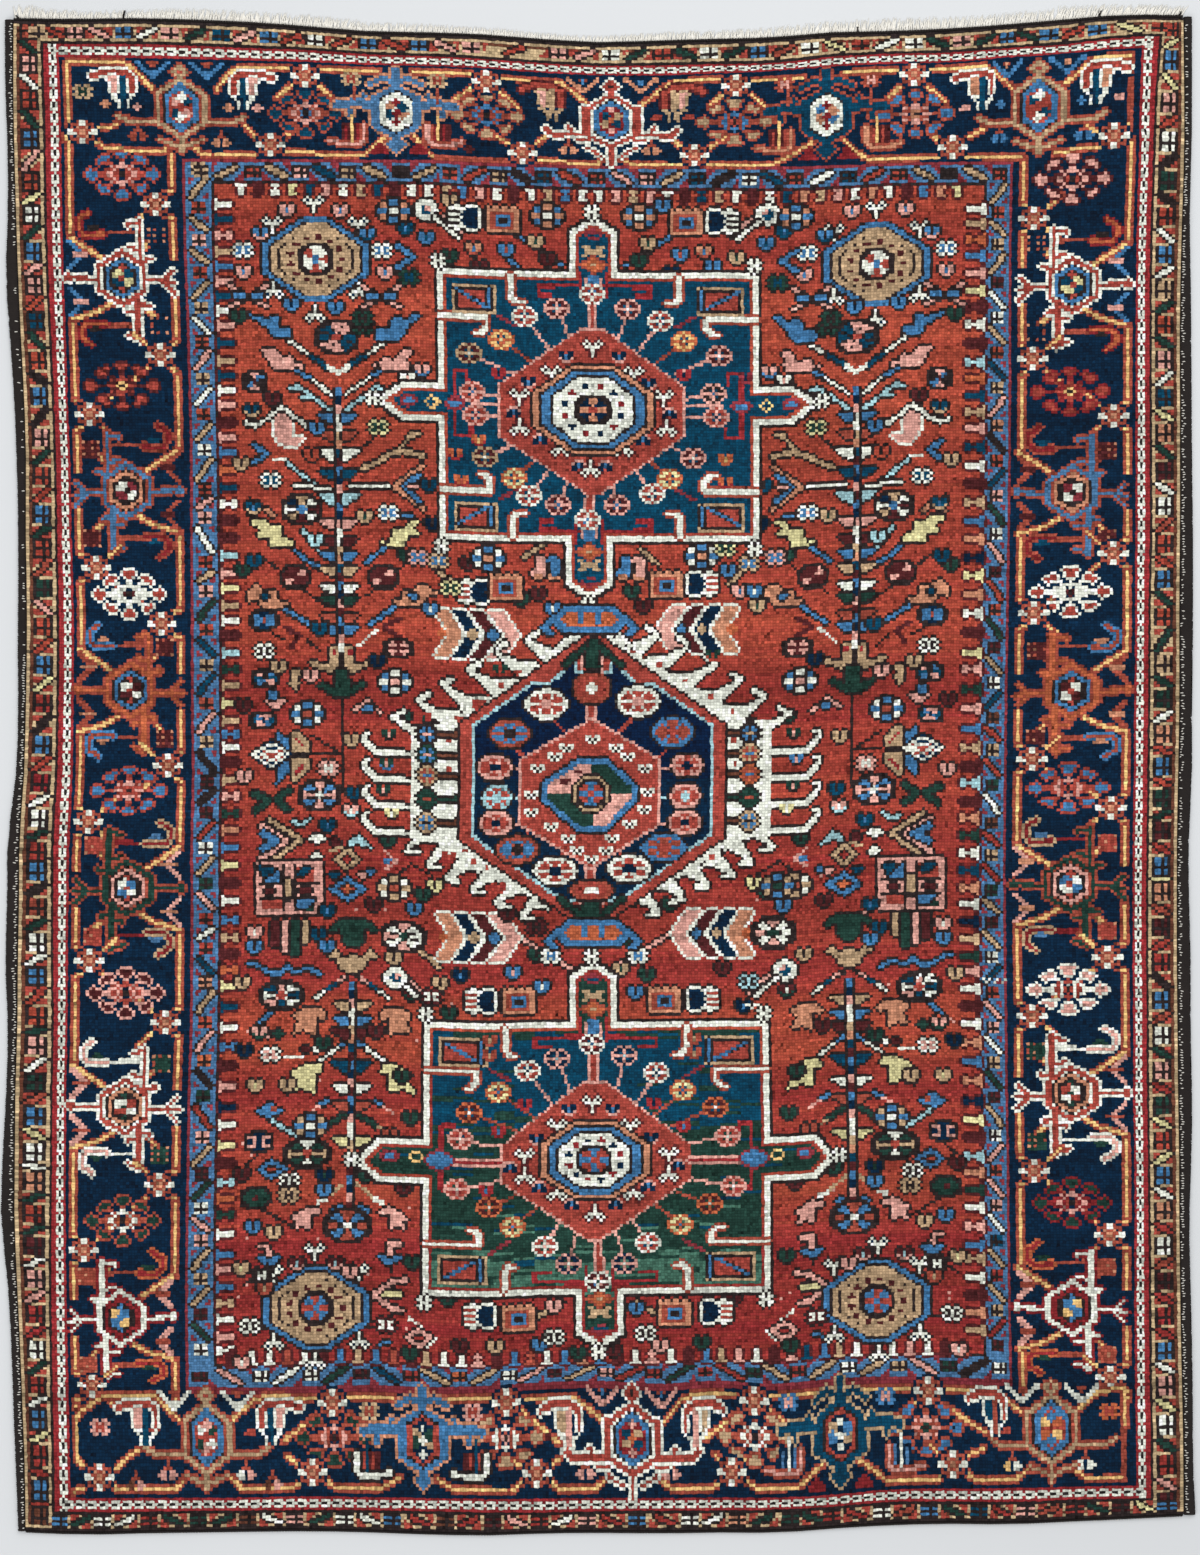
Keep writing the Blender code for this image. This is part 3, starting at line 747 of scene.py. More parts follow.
def medallion_heart(top, bottom, sides, middle, ivory_reach, star_wools, trefoils):
    """The red hexagon, its buds, and the ivory octagon with birds round a star."""
    left, right, side_top, side_bottom = sides
    outline = ((middle[0] - 4, top), (middle[0] + 4, top), (right, side_top), (right, side_bottom),
               (middle[0] + 2, bottom), (middle[0] - 2, bottom), (left, side_bottom), (left, side_top))
    lay("pink", page.ring(*outline, width=1.2))
    lay("bright_red", page.area(*outline))
    for spot_x, spot_y, tone in entries(trefoils):
        pen = Pen(spot_x, spot_y, flip_y=1 if spot_y < middle[1] else -1)
        if tone == "w":
            pen.stamp("balls", 0, 0, "ik", edge="maroon")
        else:
            pen.stamp("heart", 0, 0, "vbp", edge=None)
    pen = Pen(*middle)
    reach_x, reach_y = ivory_reach
    octagon = ((-0.36, -1), (0.36, -1), (1, -0.4), (1, 0.4), (0.36, 1), (-0.36, 1), (-1, 0.4), (-1, -0.4))
    for letter, across, down in entries("k 7.6 4.4|h 6.6 3.7|k 4.6 2.7|b 3.6 2.1|k 1 0.8|i 0 0"):
        lay(LETTER[letter], pen.area(*[(u * (reach_x + across), v * (reach_y + down)) for u, v in octagon]))
    for number in range(12):
        angle = tau * (number + 0.5) / 12
        lay("crimson" if number % 2 else "navy",
            pen.oval(reach_x * 0.74 * cos(angle), reach_y * 0.72 * sin(angle), 1.3, 1.0))
    sector_star(pen, 5.2, 4.4, star_wools)


def sector_star(pen, reach_x, reach_y, wools, heart="bright_red"):
    """A small eight-sided star of sectors in turns of some wools."""
    turns = [tau * (step + 0.5) / 8 for step in range(8)]
    corners = [(reach_x * cos(turn), reach_y * sin(turn)) for turn in turns]
    lay("black", pen.area(*[(u * 1.1 + (0.9 if u > 0 else -0.9), v * 1.1 + (0.9 if v > 0 else -0.9))
                            for u, v in corners]))
    for number, (one, two) in enumerate(zip(corners, corners[1:] + corners[:1])):
        lay(LETTER[wools[number % len(wools)]], pen.area((0, 0), one, two))
    if reach_x > 5.4:
        for corner in corners:
            lay("black", pen.line((0, 0), corner, width=0.8))
    lay(heart, pen.oval(0, 0, reach_x * 0.26, reach_y * 0.26))


# Small things between the figures: on both sides of the field, then in its middle.
SEEDS = """heart 132 70 tbt|74.5 100 g|137 118 pkb|132 121 ipk|86 128 m|117 168 ngn|140 170 v|101 138 b|
75 150 n|99 147 d|139 157 t|131 181 g|100 176 l|87 219 n|75 186 g|98 222 p|101 206 t|75 232 m|130 236 g|
121 217 v|112 244 n|113 262 t|75 256 p|112 268 pil|125 278 g|134 301 b|141 293 y|137 296 g|120 300 m|
104 302 tbt|101 310 t|79 309 pip|79 314 b|127 318 n|104 314 btb|75 326 n|76 349 v|91 361 n|80 361 nyn|
130 358 g|133 372 g|126 378 r|76 391 m|104 397 b|131 396 m|87 411 n|76 423 nyn|113 425 p|134 421 g|
76 455 pip|133 452 g|103 347 g|121 343 m|blossom 117 104 g"""
MIDDLE_SEEDS = """heart 147 79 g|176 73 ngn|214 73 ngn|236 81 b|157 82 m|222 83 v|180 79 m|211 79 g|
147 60 n|219 60 b|170 195 g|212 197 m|139 199 bib|251 197 ngn|152 183 m|241 185 b|176 193 m|181 198 bib|
208 192 g|166 302 m|222 299 g|176 316 g|214 323 g|150 323 vbv|240 321 m|178 327 bib|210 329 b|146 336 g|
247 334 vbv|143 326 n|146 433 g|182 436 p|210 437 b|243 434 m|162 449 n|232 449 g|177 449 b|218 450 p|
150 449 m|190 452 g|202 451 m"""


# The motifs that climb a medallion's narrow projection, and those that lie in its arms.
FINIALS = """
area q -3.6,2 0,0 4,2 0,4.6
line t -2,3 2,2.6
diamond or 0,12.6 3.8,2.6
line n 1.5 -3.4,6.4 3.4,9.4 / 3.4,6.4 -3.4,9.4
diamond n 0,12.6 1,1
box b -2,16 2,23
line s 1.2 -4.4,16 -4.4,23 / 4.4,16 4.4,23
line p 0.9 -3,17 -2,22
line p 3,17 2,22
"""
def square_medallion(m, middle, greens, flowers, trefoils, heart, star_wools, box_wools):
    outline = medallion_outline(m)
    body = page.area(*outline)
    lay("teal", body)
    chance = np.random.default_rng(17)
    streaks = np.repeat(chance.random((ROWS, COLUMNS // 7 + 1)), 7, axis=1)[:, :COLUMNS]
    for wool, *shares in greens:
        share = np.interp(np.arange(ROWS), shares[::2], shares[1::2])[:, None]
        lay(wool, body & (streaks < share))
    white_line(outline)
    for way in (-1, 1):
        reach = (m.right - middle[0]) / 55 if way > 0 else (middle[0] - m.left) / 55
        draw(Pen(*middle, flip_x=way * reach), MEDALLION_SIDE, box_wools)
    draw(Pen(m.middle, m.tip + 3), FINIALS)
    draw(Pen(m.foot_middle, m.foot_tip - 3, flip_y=-1), FINIALS)
    stemmed_flowers(middle, flowers)
    medallion_heart(*heart, star_wools, trefoils)
    for x, y in ((m.middle, m.tip - 2.5), (m.left, m.top - 3), (m.right, m.top - 3), (m.left, m.bottom + 3.5),
                 (m.right, m.bottom + 3.5), (m.tip_left - 2.5, m.tip_row), (m.tip_right + 2.5, m.tip_row),
                 (m.foot_middle, m.foot_tip + 2.5)):
        page.stamp("starlet", x, y, "ik")


MEDALLION_EXTRAS = """heart 163 118 svs|226 118 svs|156 141 oas|240 147 oao|148 146 ovs|150 155 ors|
240 155 ovs|247 119 qvq|172 367 svs|216 367 svs|163 376 sbs|226 375 sbs|159 396 sbs|160 345 rnr|
230 345 rnr|160 350 rnr|230 350 rnr"""


# The lower medallion's greens, each with rows and its share of the ground there.
GREENS = """dark_green 338 1 341 1 345 0 360 0.05 372 0.3 378 0.9 385 0.96 395 0.9 410 0.96 431 1|
light_green 398 0 412 0.1 418 0.35 421 0.8 426 0.85 431 0.5 434 0"""


def medallions():
    square_medallion(UPPER, (194.5, 129.5), (), UPPER_FLOWERS, UPPER_TREFOILS,
                     (103, 158.5, (162.5, 225, 122, 139), (194.5, 130), (13.5, 11.2)), "vh", "be")
    square_medallion(LOWER, (195.5, 386), entries(GREENS), LOWER_FLOWERS, LOWER_TREFOILS,
                     (360, 413, (163.5, 227.5, 381, 393), (195.2, 386), (12, 9.4)), "eb", "be")
    page.stamp_all(MEDALLION_EXTRAS, edge=None)
    for x, start in ((142.5, 146), (249.5, 246)):
        lay("stripe_red", page.line((start, 386.5), (163 if x < 195 else 228, 386.5), width=1.6), edge="pink")
        lay("blue", page.oval(x, 386, 4.2, 2.8), edge="dull_red")


# ---------------------------------------------------------------------------------------------------------
# The hexagonal medallion in the middle, with its ivory comb.

# The ivory round the hexagon: its body, its red spots, then the thorns along its upper and lower slopes on the
# left, whose numbers across run from the rug's middle.
SHELL = """189.5 206|199 206|204 209.5|211 214.5|219.5 219|229.5 224.5|239.5 230.5|247 235.5|256 236.5|
256 276|247 276.5|240 280|232.5 285|224 290|216 294.5|208 299|199 305|189.5 305|180 299|172 295|164 291|
155.5 286.5|148 281.5|141.3 277|131.8 277|131.8 240|143 238|150 233.4|160 227.6|170 222|177.6 217|
182 211.5"""
SHELL_SPOTS = """163 224|156 230|148.5 235.5|168.5 219.5|208 212.5|217 217|226 222.5|235 228|242.5 233|
145 243.5|145 253|243 243|243.5 251|151 280.5|154 284|158.5 286|236 283"""
UPPER_THORNS = """
line ik 1.9 -5.5,206.4 -13,212.4
area ik -22,208.4 -13,212 -16,217 / -33,212.6 -25,215.8 -17,216.8 -24,222
/ -42,218.6 -35,221.6 -24.5,222 -34,228 / -51,223.6 -44,227.5 -35,227.5 -44,233.5
/ -59.5,229.6 -53,233 -44,233 -50,238.5 / -68,235.8 -61,238.8 -51,238 -51,240 -62,241
line ik 1.8 -22,208.8 -16,215.5 / -32.6,213 -24,220.5 / -42,218.8 -34.5,226 / -51,224 -43.5,231
/ -59.5,230 -51,237.5 / -68,236 -61.5,240.5
line ik 1.5 -22,208.4 -18.4,205.8 / -32.6,212.4 -29.4,209.4 / -42,218.4 -38.4,216.6 / -50.8,223.8 -48,222.4
/ -59,229.6 -56,228 / -67.6,235.6 -64.2,234
"""
LOWER_THORNS = """
area ik -58,275 -49,279 -56,277.6 -60,279 -63,281.4 -63.6,280
/ -51,277.5 -43,284 -47.5,281.5 -52,283.5 -55,287 -56.4,285.4
/ -44,282 -36,289 -41,286.8 -45,288.6 -49,291 -50,289.8
/ -36,286.5 -27,292.6 -32.4,290.4 -36,291.6 -40,294.6 -41.2,293
/ -28,290.5 -19,297 -24,294.8 -28,296 -31.6,299 -32.6,297.4
/ -20,296 -12,302 -16,299.6 -20,300.6 -23,304 -24,302
line ik 1.5 -63,281.2 -59,281.8 / -55.6,286.2 -51.6,286.6 / -49,290.6 -46,291 / -40.4,294.2 -36.6,294.4
/ -32,298.8 -28,299.4 / -23.4,303.2 -20,303.8
"""
PRONG = """
line ik 1.9 -2,0.5 12,0.3 15.6,-3.4
line ik 1.4 15.8,-3.6 16.6,-5.6 15,-6.2
"""
LEFT_PRONGS, RIGHT_PRONGS = (248, 257, 266, 275), (246.5, 255.5, 264.5, 273.5)
PRONG_HEARTS = """heart 125 242 gpk|124 252 gpb|123 261 gpk|126 269 yik|264 241 gpk|265 250 bpk|
264 259 gpk|262 267 yik|137 236 dgd|163 219 gdd|156 231 ded|146 283 ded|163 293 ded|236 214 gdd"""
PANEL_FLOWERS = """138 241.5 bkp|138 249 bgp|138 256 rnb|138 263.5 ggr|138 271.5 bnk|249 241 bkn|
249 247.5 rnb|249 255 rob|249 262.5 ggr|249 270.5 bnk"""

# The rings of the hexagon, from its middle column; then the core.
CENTRE = """
area ek 0,205.5 45.4,237.5 45.4,276.5 0,308.5 -45.4,276.5 -45.4,237.5
area lr l 0,219 5.4,219 5.4,215 7,215 14.5,222.6 21,223.2 41.6,237.6 41.6,275.4 14,295.2 8,297.6 0,298
area lr x 0,220 6.4,220 6.4,216.4 14,223.6 20.6,224.2 40.7,238.2 40.7,274.8 13.6,294.2 7.6,296.6 0,297
line lr p 3.6,213 3.6,219 0,219 / 5,297 3.6,299 / 22,252 30,252 / 22,271 30,271
area lr gk -1,208 1.6,208 2.2,217.6 -1,218 / -1,304 3.4,304 2.6,297.6 -1,298
line lr gk 1.8 2.6,211 9.5,217 / 3,303 10.5,297
line ep 1.7 0,229 0,238 / 0,284 0,291
line lr e 15.5,234 9,240 / 27,245 20,251 / 13,284 7,279 / 24,277 20,272
line lr l 22,262 30,262
area ep 0,236 22.8,249.5 22.8,271.5 0,286 -24,271.5 -24,249.5
area bk -4.5,248.8 5,248.8 15.3,258 16,263 5,274 -4.5,274 -17.2,263.4 -17.2,257.4
area g -4,250.8 4.4,250.8 13.4,258.6 13.4,263 4.8,272 -4,272 -15.2,263 -15.2,258
area p -4,250.8 0,251 0,261 -15,261 -15.2,258 / 1,261 14,261 13.4,263 4.8,272 1,272
oval turn m -9.5,256.8 2,1 / -5,253.4 1.6,0.9
"""
CENTRE_BIRDS = """wings 194.5 242.5 i|186 245.5 i|202.5 245.5 i|181.5 249 i|207 249 i|176 252.5 i|
213 252.5 i|173.5 262 i|173.5 267.5 i|213.5 261 i|213 267 i|181 272.5 i|207.5 272 i|186.5 276.5 i|
202 276.5 i|189.5 280.5 i|199.5 280.5 i|194.5 283.5 i"""
CENTRE_ROSETTES = """194 225 rei 6.5 5|178.5 230.5 iep 7.2 5.2|210 229.5 iep 7.4 5.2|166 240.5 rbk 7 4.8|
222 240 bre 7.2 4.8|160.8 252 pev 6 4.2|227 251.5 pev 5.4 4|161.6 262.3 lel 5 4.4|226.4 262 pel 5.2 4.4|
161.4 271 pev 5.6 4|226.6 271 pev 5.8 4|169 280 rbk 7.4 4.6|219.5 279.5 bre 7.6 4.6|182 287.3 iev 7.4 4.6|
207.5 286.8 iev 7.4 4.6|194.5 294 rei 7.4 3.4"""
CARTOUCHE = """
line lr bk 2 7,2 12,-1 16,2.6 13,4.4
area bk -9,-5 9,-5 13,0 9,4 -9,4 -13,0
area o -8,-3 8,-3 10,0 7,2 -7,2 -10,0
line b 2 -3,-4 -3,0 / 3,-4 3,0
"""


def central_medallion():
    for pen, thorns in ((Pen(194, 0), UPPER_THORNS), (Pen(194, -2, flip_x=-1), UPPER_THORNS),
                        (Pen(194, 0), LOWER_THORNS), (Pen(194, -1.3, flip_x=-1), LOWER_THORNS)):
        draw(pen, thorns)
    for x, way, rows in ((132, -1, LEFT_PRONGS), (256, 1, RIGHT_PRONGS)):
        for row in rows:
            draw(Pen(x, row, flip_x=way), PRONG)
    knots[page.area(*entries(SHELL))] = NUMBER["ivory"]
    page.stamp_all(PRONG_HEARTS, edge=None)
    for x, y, wools in entries(PANEL_FLOWERS):
        way = 1 if x < 195 else -1
        stem = page.line((x, y), (x + way * 11, y - 0.5), width=1.2)
        lay("dark_green" if wools[0] in "lg" else "brown", stem, edge="black")
        page.stamp("posy", x, y, wools)
    for x, y in entries(SHELL_SPOTS):
        lay("bright_red", page.diamond(x, y, 1.3, 1.0))
    middle = Pen(194.3, 0)
    draw(middle, CENTRE)
    lower = page.box(150, 256, 240, 302)
    lay("navy", lower & (knots == NUMBER["midnight"]))
    page.stamp_all(CENTRE_BIRDS, edge=None)
    for x, y, wools, reach_x, reach_y in entries(CENTRE_ROSETTES):
        round_flower(x, y, *[LETTER[letter] for letter in wools], reach_x, reach_y)
    lay("tan", page.oval(194, 261, 6.4, 6.2), edge="black")
    sector_star(Pen(194, 261), 4.4, 4.2, "eb")
    draw(Pen(195, 309), CARTOUCHE)
    draw(Pen(193, 202), CARTOUCHE)


# ---------------------------------------------------------------------------------------------------------
# The field. Its left side is charted in columns and rows of the whole rug, and its right side is the same
# side turned over.

def petal_ring(x, y, reach_x, reach_y, wools):
    """A round flower of petals in turns of two or three wools. The last wool is the heart's."""
    sector_star(Pen(x, y), reach_x, reach_y, wools[:-1], LETTER[wools[-1]])


def hexagon_rosette(x, y, star_wools):
    pen = Pen(x, y)
    outline = ((-18, -5), (-4, -14.2), (4, -14.2), (18, -5), (18, 5), (4, 14.2), (-4, 14.2), (-18, 5))
    for letter, scale in entries("k 1.05|b 1|k 0.89|n 0.85|k 0.71|n 0.66"):
        lay(LETTER[letter], pen.area(*[(u * scale, v * scale) for u, v in outline]))
    lay("tan", pen.area(*[(u * 0.66, v * 0.72) for u, v in outline]))
    for number in range(13):
        angle = tau * number / 13
        lay("maroon", pen.oval(9 * cos(angle), 7.4 * sin(angle), 1.3, 0.8))
    sector_star(pen, 4.8, 4.6, star_wools, "blue")
    for u, v in ((0, -18.5), (-14.3, -11.5), (14.7, -11.5), (-14.3, 11), (14.7, 11), (0, 18.5)):
        Pen(x + u, y + v, flip_y=1 if v < 0 else -1).stamp("balls", 0, 0, "iv")


LEAVES = ("b133 r139 i145.5 t152 l160.5 p169 m175 b180 n185 i191 g195 r201 b205",
          "n333 b338 m342.5 t353.5 i361 r367 y379")
TRUNK = "bmiphvbimtpvn"


def trunk(x, first, last):
    """A thin trunk of short coloured lengths."""
    lay("black", page.box(x - 1.6, first, x + 1.6, last))
    for number, start in enumerate(range(int(first), int(last), 3)):
        lay(LETTER[TRUNK[number * 5 % len(TRUNK)]], page.box(x - 0.9, start, x + 0.9, start + 2.6))


def tree(x, shift, first, last, leaves):
    trunk(x, first, last)
    for word in leaves.split():
        y = float(word[1:]) + shift
        for way in (-1, 1):
            leaf = Pen(x, y, flip_x=way).area((1.6, -0.3), (7.4, -0.4), (5.6, 1.4), (3.2, 3), (1.6, 3))
            lay(LETTER[word[0]], leaf, edge="black")


# The branches, birds and small things round the upper tree, then those of the middle and of the lower part.
FIELD_SIDE = """
area bk 77,99 82,100 84,101.5 85,100 88,100 88,104 92,104 92,107 86,107 84,103 82,102.4
/ 137,99 132.5,102.4 130.5,106 129,108 121.5,108 121,104 126,104 126.5,100.5 130,100 131,101.5 134,98.6
line ik 91,107.8 99,113.5 / 124,109 117,113
line tk 1.4 99,113.5 104.5,117.5 / 117,113 111,117
area pk 82,111 86,111 90,114 92,113 93,116 96,116 96,118 86,118 84,114.5
/ 120,116 122,117 123,113.4 125,114 127,115 131,110.8 133.5,111.6 131,114 132.5,115.5 132,118 121,118
line bk 1.2 94,118.5 98.5,121
line bk 122.5,118.5 118.5,120.5
line bk 1.5 78.6,143.5 83.4,146.5 79,149.6
line lk 1.2 91,125 94,123.6 98.5,127 105.5,132 / 123.5,125 121,123.8 116,127.5 110,132
line lk 95,128 98,127.4 / 90,149.6 99.4,157 / 95,172 97.6,176 101.6,180.5 / 91,271 94,273 97.4,270.6
area lk 110.6,279.6 112,277 114.6,276.4 117,278 118.6,280.6 115,279.4
area pi 85.8,134 89,131.5 92.4,134 92,141 97,140.6 94,143.5 90,144 86.6,142
line ik 99,121.2 106,127 / 118.5,120.8 110,126.5 / 111,157 124.4,157 / 92,157.6 99.6,158 105,159
line ik 1.3 76,136 79.5,137 83,135 88.6,130.8 94,135 97,137.2 100,136
oval ik 100,277.4 3,1.2 / 100,283.6 2.2,1.2
line k 120,141 115,145 / 82,182 88.4,187.4 / 131,183 126,187.4 / 94,192 103,198.4 / 121,191.4 116.6,195
/ 84,207.6 89,210 / 96,209.6 100.4,213.4 / 108,229 108,262 / 97.6,242 106,247.4
/ 128,289 132.6,285.6 140,289.6
line k 1.2 98,248.7 108,248.7
line nk 1.6 116,151.5 120.5,149.5 125,146.8 129,145.5 136.6,147
line nk 1.3 128.4,144.6 130.4,142.6 132.8,140 135.6,139.3
area nk 104,212 107,212 107,220 104.6,221.4 98,218.4 96,216.6 104,218.4
/ 112,212 109,212 109,220 111.4,221.4 117.6,218.4 119,216.6 112,218.4
/ 91,220 94,220.4 93,222.6 94,224.6 92.4,227 90.4,224.6 91,223 / 91,241 94,241 97,245 97,248 91,248
/ 91,250 97,250 97,253 95,256 91,258.6
line nk 1.4 83.4,270.8 94.6,277.8 85,284.4
line hk 1.3 136.6,150.4 126.2,157.6 136.6,165
line hk 77,162.6 80,165 77.6,168 / 82.4,165 85,167.4
area hk 75.5,194 79,190.4 82,193 86,193 86.5,196.5 90,197 90,199 81,199 79.5,196 76,196.6
/ 126,198 126,196 129,196 129,193 132,193 135,191 137,191 141,193.6 137,195 136,197.6
line bk 1.7 134.8,153.6 129.8,157.6 134.8,162
line bk 127,167 133,167
line bk 1.2 92,179 96,182.5 100.2,185
line pk 1.3 132,157.6 134,157.6
area pk 81,230 90,230 85.6,233.4
line pk 112,234 117,230.4 122,234.6
line pk 1.9 80.8,272.6 89,278 81,284
oval pk 116,289.6 2,1
area yk 77,170 79,169 83,169 85,171.5 88,171 88.5,175 92.5,176 92,178 84,178 84,175 80,174.5 81,172
/ 122,178 122,176 125,177 126,172 130,172 133,168.4 135.6,169.4 133,171 135,174 131,174.5 130,177.6
oval tk 82,195 1,1 / 106,289.6 2,1
line m 1.8 89,205.4 93.6,208.6 90.4,212.4 / 127.6,202.4 122.4,205.6 127.6,208.6
box s 105,213 106,215 / 110,213 112,215
line s 1.3 92.6,243.6 95,246 / 92.6,255 95,252
area gk 106,220 110.4,220 110.6,226 116,223.4 116.4,225 110.6,229 105.4,229 100,225.2 101,224 105.6,226
line gk 2 77.6,261.6 83,264 78.6,267.6 / 90,260.8 85.6,264.2 90,267.4
diamond vk 84,248.6 7.4,5
line i 2 104.5,117.2 108,119 111,117.2
line i 85,148 89.4,148 / 120,206.4 113.6,212
ring i 0.9 77.4,248.6 84,244.8 90,248.6 84,252.6
oval e 84,248.7 4.2,2.2
ring i 80,248.7 84,247 88,248.7 84,250.4
line bk 1.2 123,178.5 116,184 / 89,199.6 98,205 / 127,198 118,204.4
oval bk 132.6,194.8 1.4,1 / 84.6,228.6 1.8,1.8 / 117.4,233.2 2,1 / 118.6,288.8 1.2,1
area bk 85.6,240.6 90,243.6 90,247 86,244 / 90,250.4 90,255 85.4,258.6 86,253
line bk 2 81.4,275.4 86.6,278 81.4,280.6
ring bk 1.5 105.2,294.6 110.4,291.2 116,294.6 110.4,298
oval mk 106.4,278.8 1.8,1.6
line n 1.2 105,281.4 108,280.6 110,282
ring nk 1.2 107,284.4 110.4,281.2 114,284.4 110.4,287.6
diamond o 110.6,294.6 2,1.6
line p 123.6,281.6 127.4,285 123,288
oval b 124.4,284.8 1.3,1.2
"""
LOWER_FIELD_SIDE = """
box mk 84,305 87,314
oval mk 96.6,349 2,1
box pk 88,305 90,316
oval pk 83.6,343.6 1.4,1
box gk 91,305 94,317
oval gk 87,343.4 2,1.3
box nk 95,305 97,313
line bk 1.3 77,319.2 79.6,320 84,323 87.4,323 90,320.8 93,323 97,321 101.6,323.6
line bk 1.2 84,336.6 79.4,340.4
diamond bk 84.6,369.6 4.6,2.8
ring bk 1.3 81.4,389.4 85.6,387 90,389.4 85.6,392.2
area bk 80,419 90,419 87,421.8 83,421.6 / 121,419 131,419 127,421.8 124,421.6 / 121,450 124,448 127,448
line p 79.4,340.6 76.6,342.4
line k 89,352 96,351 / 82.4,403 92.4,409 / 76.4,388 80.6,384.6 / 84.8,422 76.6,428.4 / 126,422 126,425
/ 118,443 123,443 / 80,443 85,444
line i 89.4,351 95.6,351 / 132,439.6 141.6,446.6 137,450
box i 94,374 95,376 / 97,374 98,376
oval ik 100,349 1,1
diamond r 86,369 2,1
line lk 1.1 85.4,373 95,379.4
line pk 1.7 82,415.4 84.4,415.4 84.8,418 / 129.6,415 126,415 126,418
line pk 1.6 121,432 127,428 131,427 / 121,433 127,437 130,437.6
ring pk 1.5 131.6,446.6 135.4,443.8 139.6,446 136,449.4
line yk 1.5 124,432.2 129,432
"""
# What belongs to the lower tree, from its trunk out.
LOWER_TREE_SIDE = """
line lr k 2.2 2,324.5 8,328.4
line lr p 3,324.8 6,326.6
line lr t 1.2 6,327 9,328.8
line lr bk 1.2 2.4,347 5,348.6 / 8,366.6 10.4,367.8
line lr bk 1.3 3.4,402.6 6,404
line lr ik 9,329 12.4,331.4 / 5,348.8 12,353.6
line lr p 10.4,368 14.6,370.6
line lr gk 1.3 2.4,371.4 8.6,375
area lr gk 0,305 4,305 7.6,307 8.6,309.4 4,308 3.4,313 0,314.4
line lr n 8.6,375 12.6,377.4
line lr n 1.3 2.4,395 8,399.4
line lr i 1.6 8.4,400 11,401
area lr nk 0,317 3.4,318 6,315 9,318 6,317.6 4,321.4 0,323.4
area lr hk 9,337 11,335 17,335.2 20.6,337 18.4,339.4 20,343.6 16.6,342.4 12.8,344 12.8,338 10,339
area lr yk 10,357 10.6,354.4 16,354.4 21,357 19,359.4 22.4,364 17.4,362.2 12.8,363.6 12.8,357
area lr pk 10,405 10.4,403 13.6,402.4 20,406 18,407.6 19,410 16,409 13.4,410.4 13.2,405
"""
PANEL = """
box pk -11.5,-9 11.5,9
box p -10.4,-8 10,8
box e 2,-7 9,-2 / -9,4 -2,7
area tk -10,-7.6 -6,-7 -3,-4.6 -3,-3 -8,-3 / 9,-7.6 5,-6.6 3,-4.6 6,-4
area bk -3,-7 -3,-2 -9,-1.6 -6,-4 / 2.6,4 9,4 6,7 3,7
area g 9,8 9,5.6 6,7.6
box nk -1.4,-3 1,4
box mk -8,0 -5,2 / 4,0 8,2
line k -10,-2 -2,-2 / 2,-2 10,-1.6 / -10,3 10,3 / -2,-8 -2,8 / 2,-8 2,8
"""
PETAL_RINGS = """107.7 107 6.4 5.3 tppte|95 165.5 6 4.4 imnivnb|100.5 262.5 6.4 4.6 bpi|
88 330.5 6.6 4.3 itpe|111.5 409 7 4.9 bri|97.5 384.4 7 4.4 gigne|79.6 122 3.8 3 kpbkm|
92.4 188.4 4.8 3.3 mmpmm|122.4 188.4 4.8 3.3 mmpmm|127.4 212.6 4.2 2.9 pmpmm|81.4 203 4.2 2.8 bvbbr|
82 222.8 4.2 2.6 pkbtk|81.4 237 4 2.4 bpptv|81 380 4.4 3 pvpvv|80.4 399 4.6 3 ggggm"""
FIELD_SPOTS = """quatrefoil 77 78 ibi|124 78 ibi|121.5 138 ygk|85 156 iti|124.5 167 ibp|135 182 pbb|
82 214 i|85 351 ipm|91.6 394 i|78.6 443 i|124.6 443 mim|blossom 116.5 101 g|103.5 254 pip|92 399 n|
83 426 kik|heart 82.5 72 bkp|91.5 64 pbp|109.5 64 pbp|118.5 72 bkt|77 85 pbp|125 85 pbp|93 96 bvb|
108 97 bvb|79 132 tkn|79 165 tbn|78.6 183 t|103.6 273 tbt|80 409 b|94.5 422 mlp|108 422 mlp|81 343 pkg|
104 392 vgv|124 392 g|133 330 mig|118 392 g|84 430 rnr|blocks 126.5 224 bipk|96.6 235 ibrk|127 294 inrk|
98.6 375 nbik"""
SPREAD_PETALS = """
line lr pk -1,0 -7,-4 / -1,1 -7,4
oval lr bk 3,0 2,1
"""


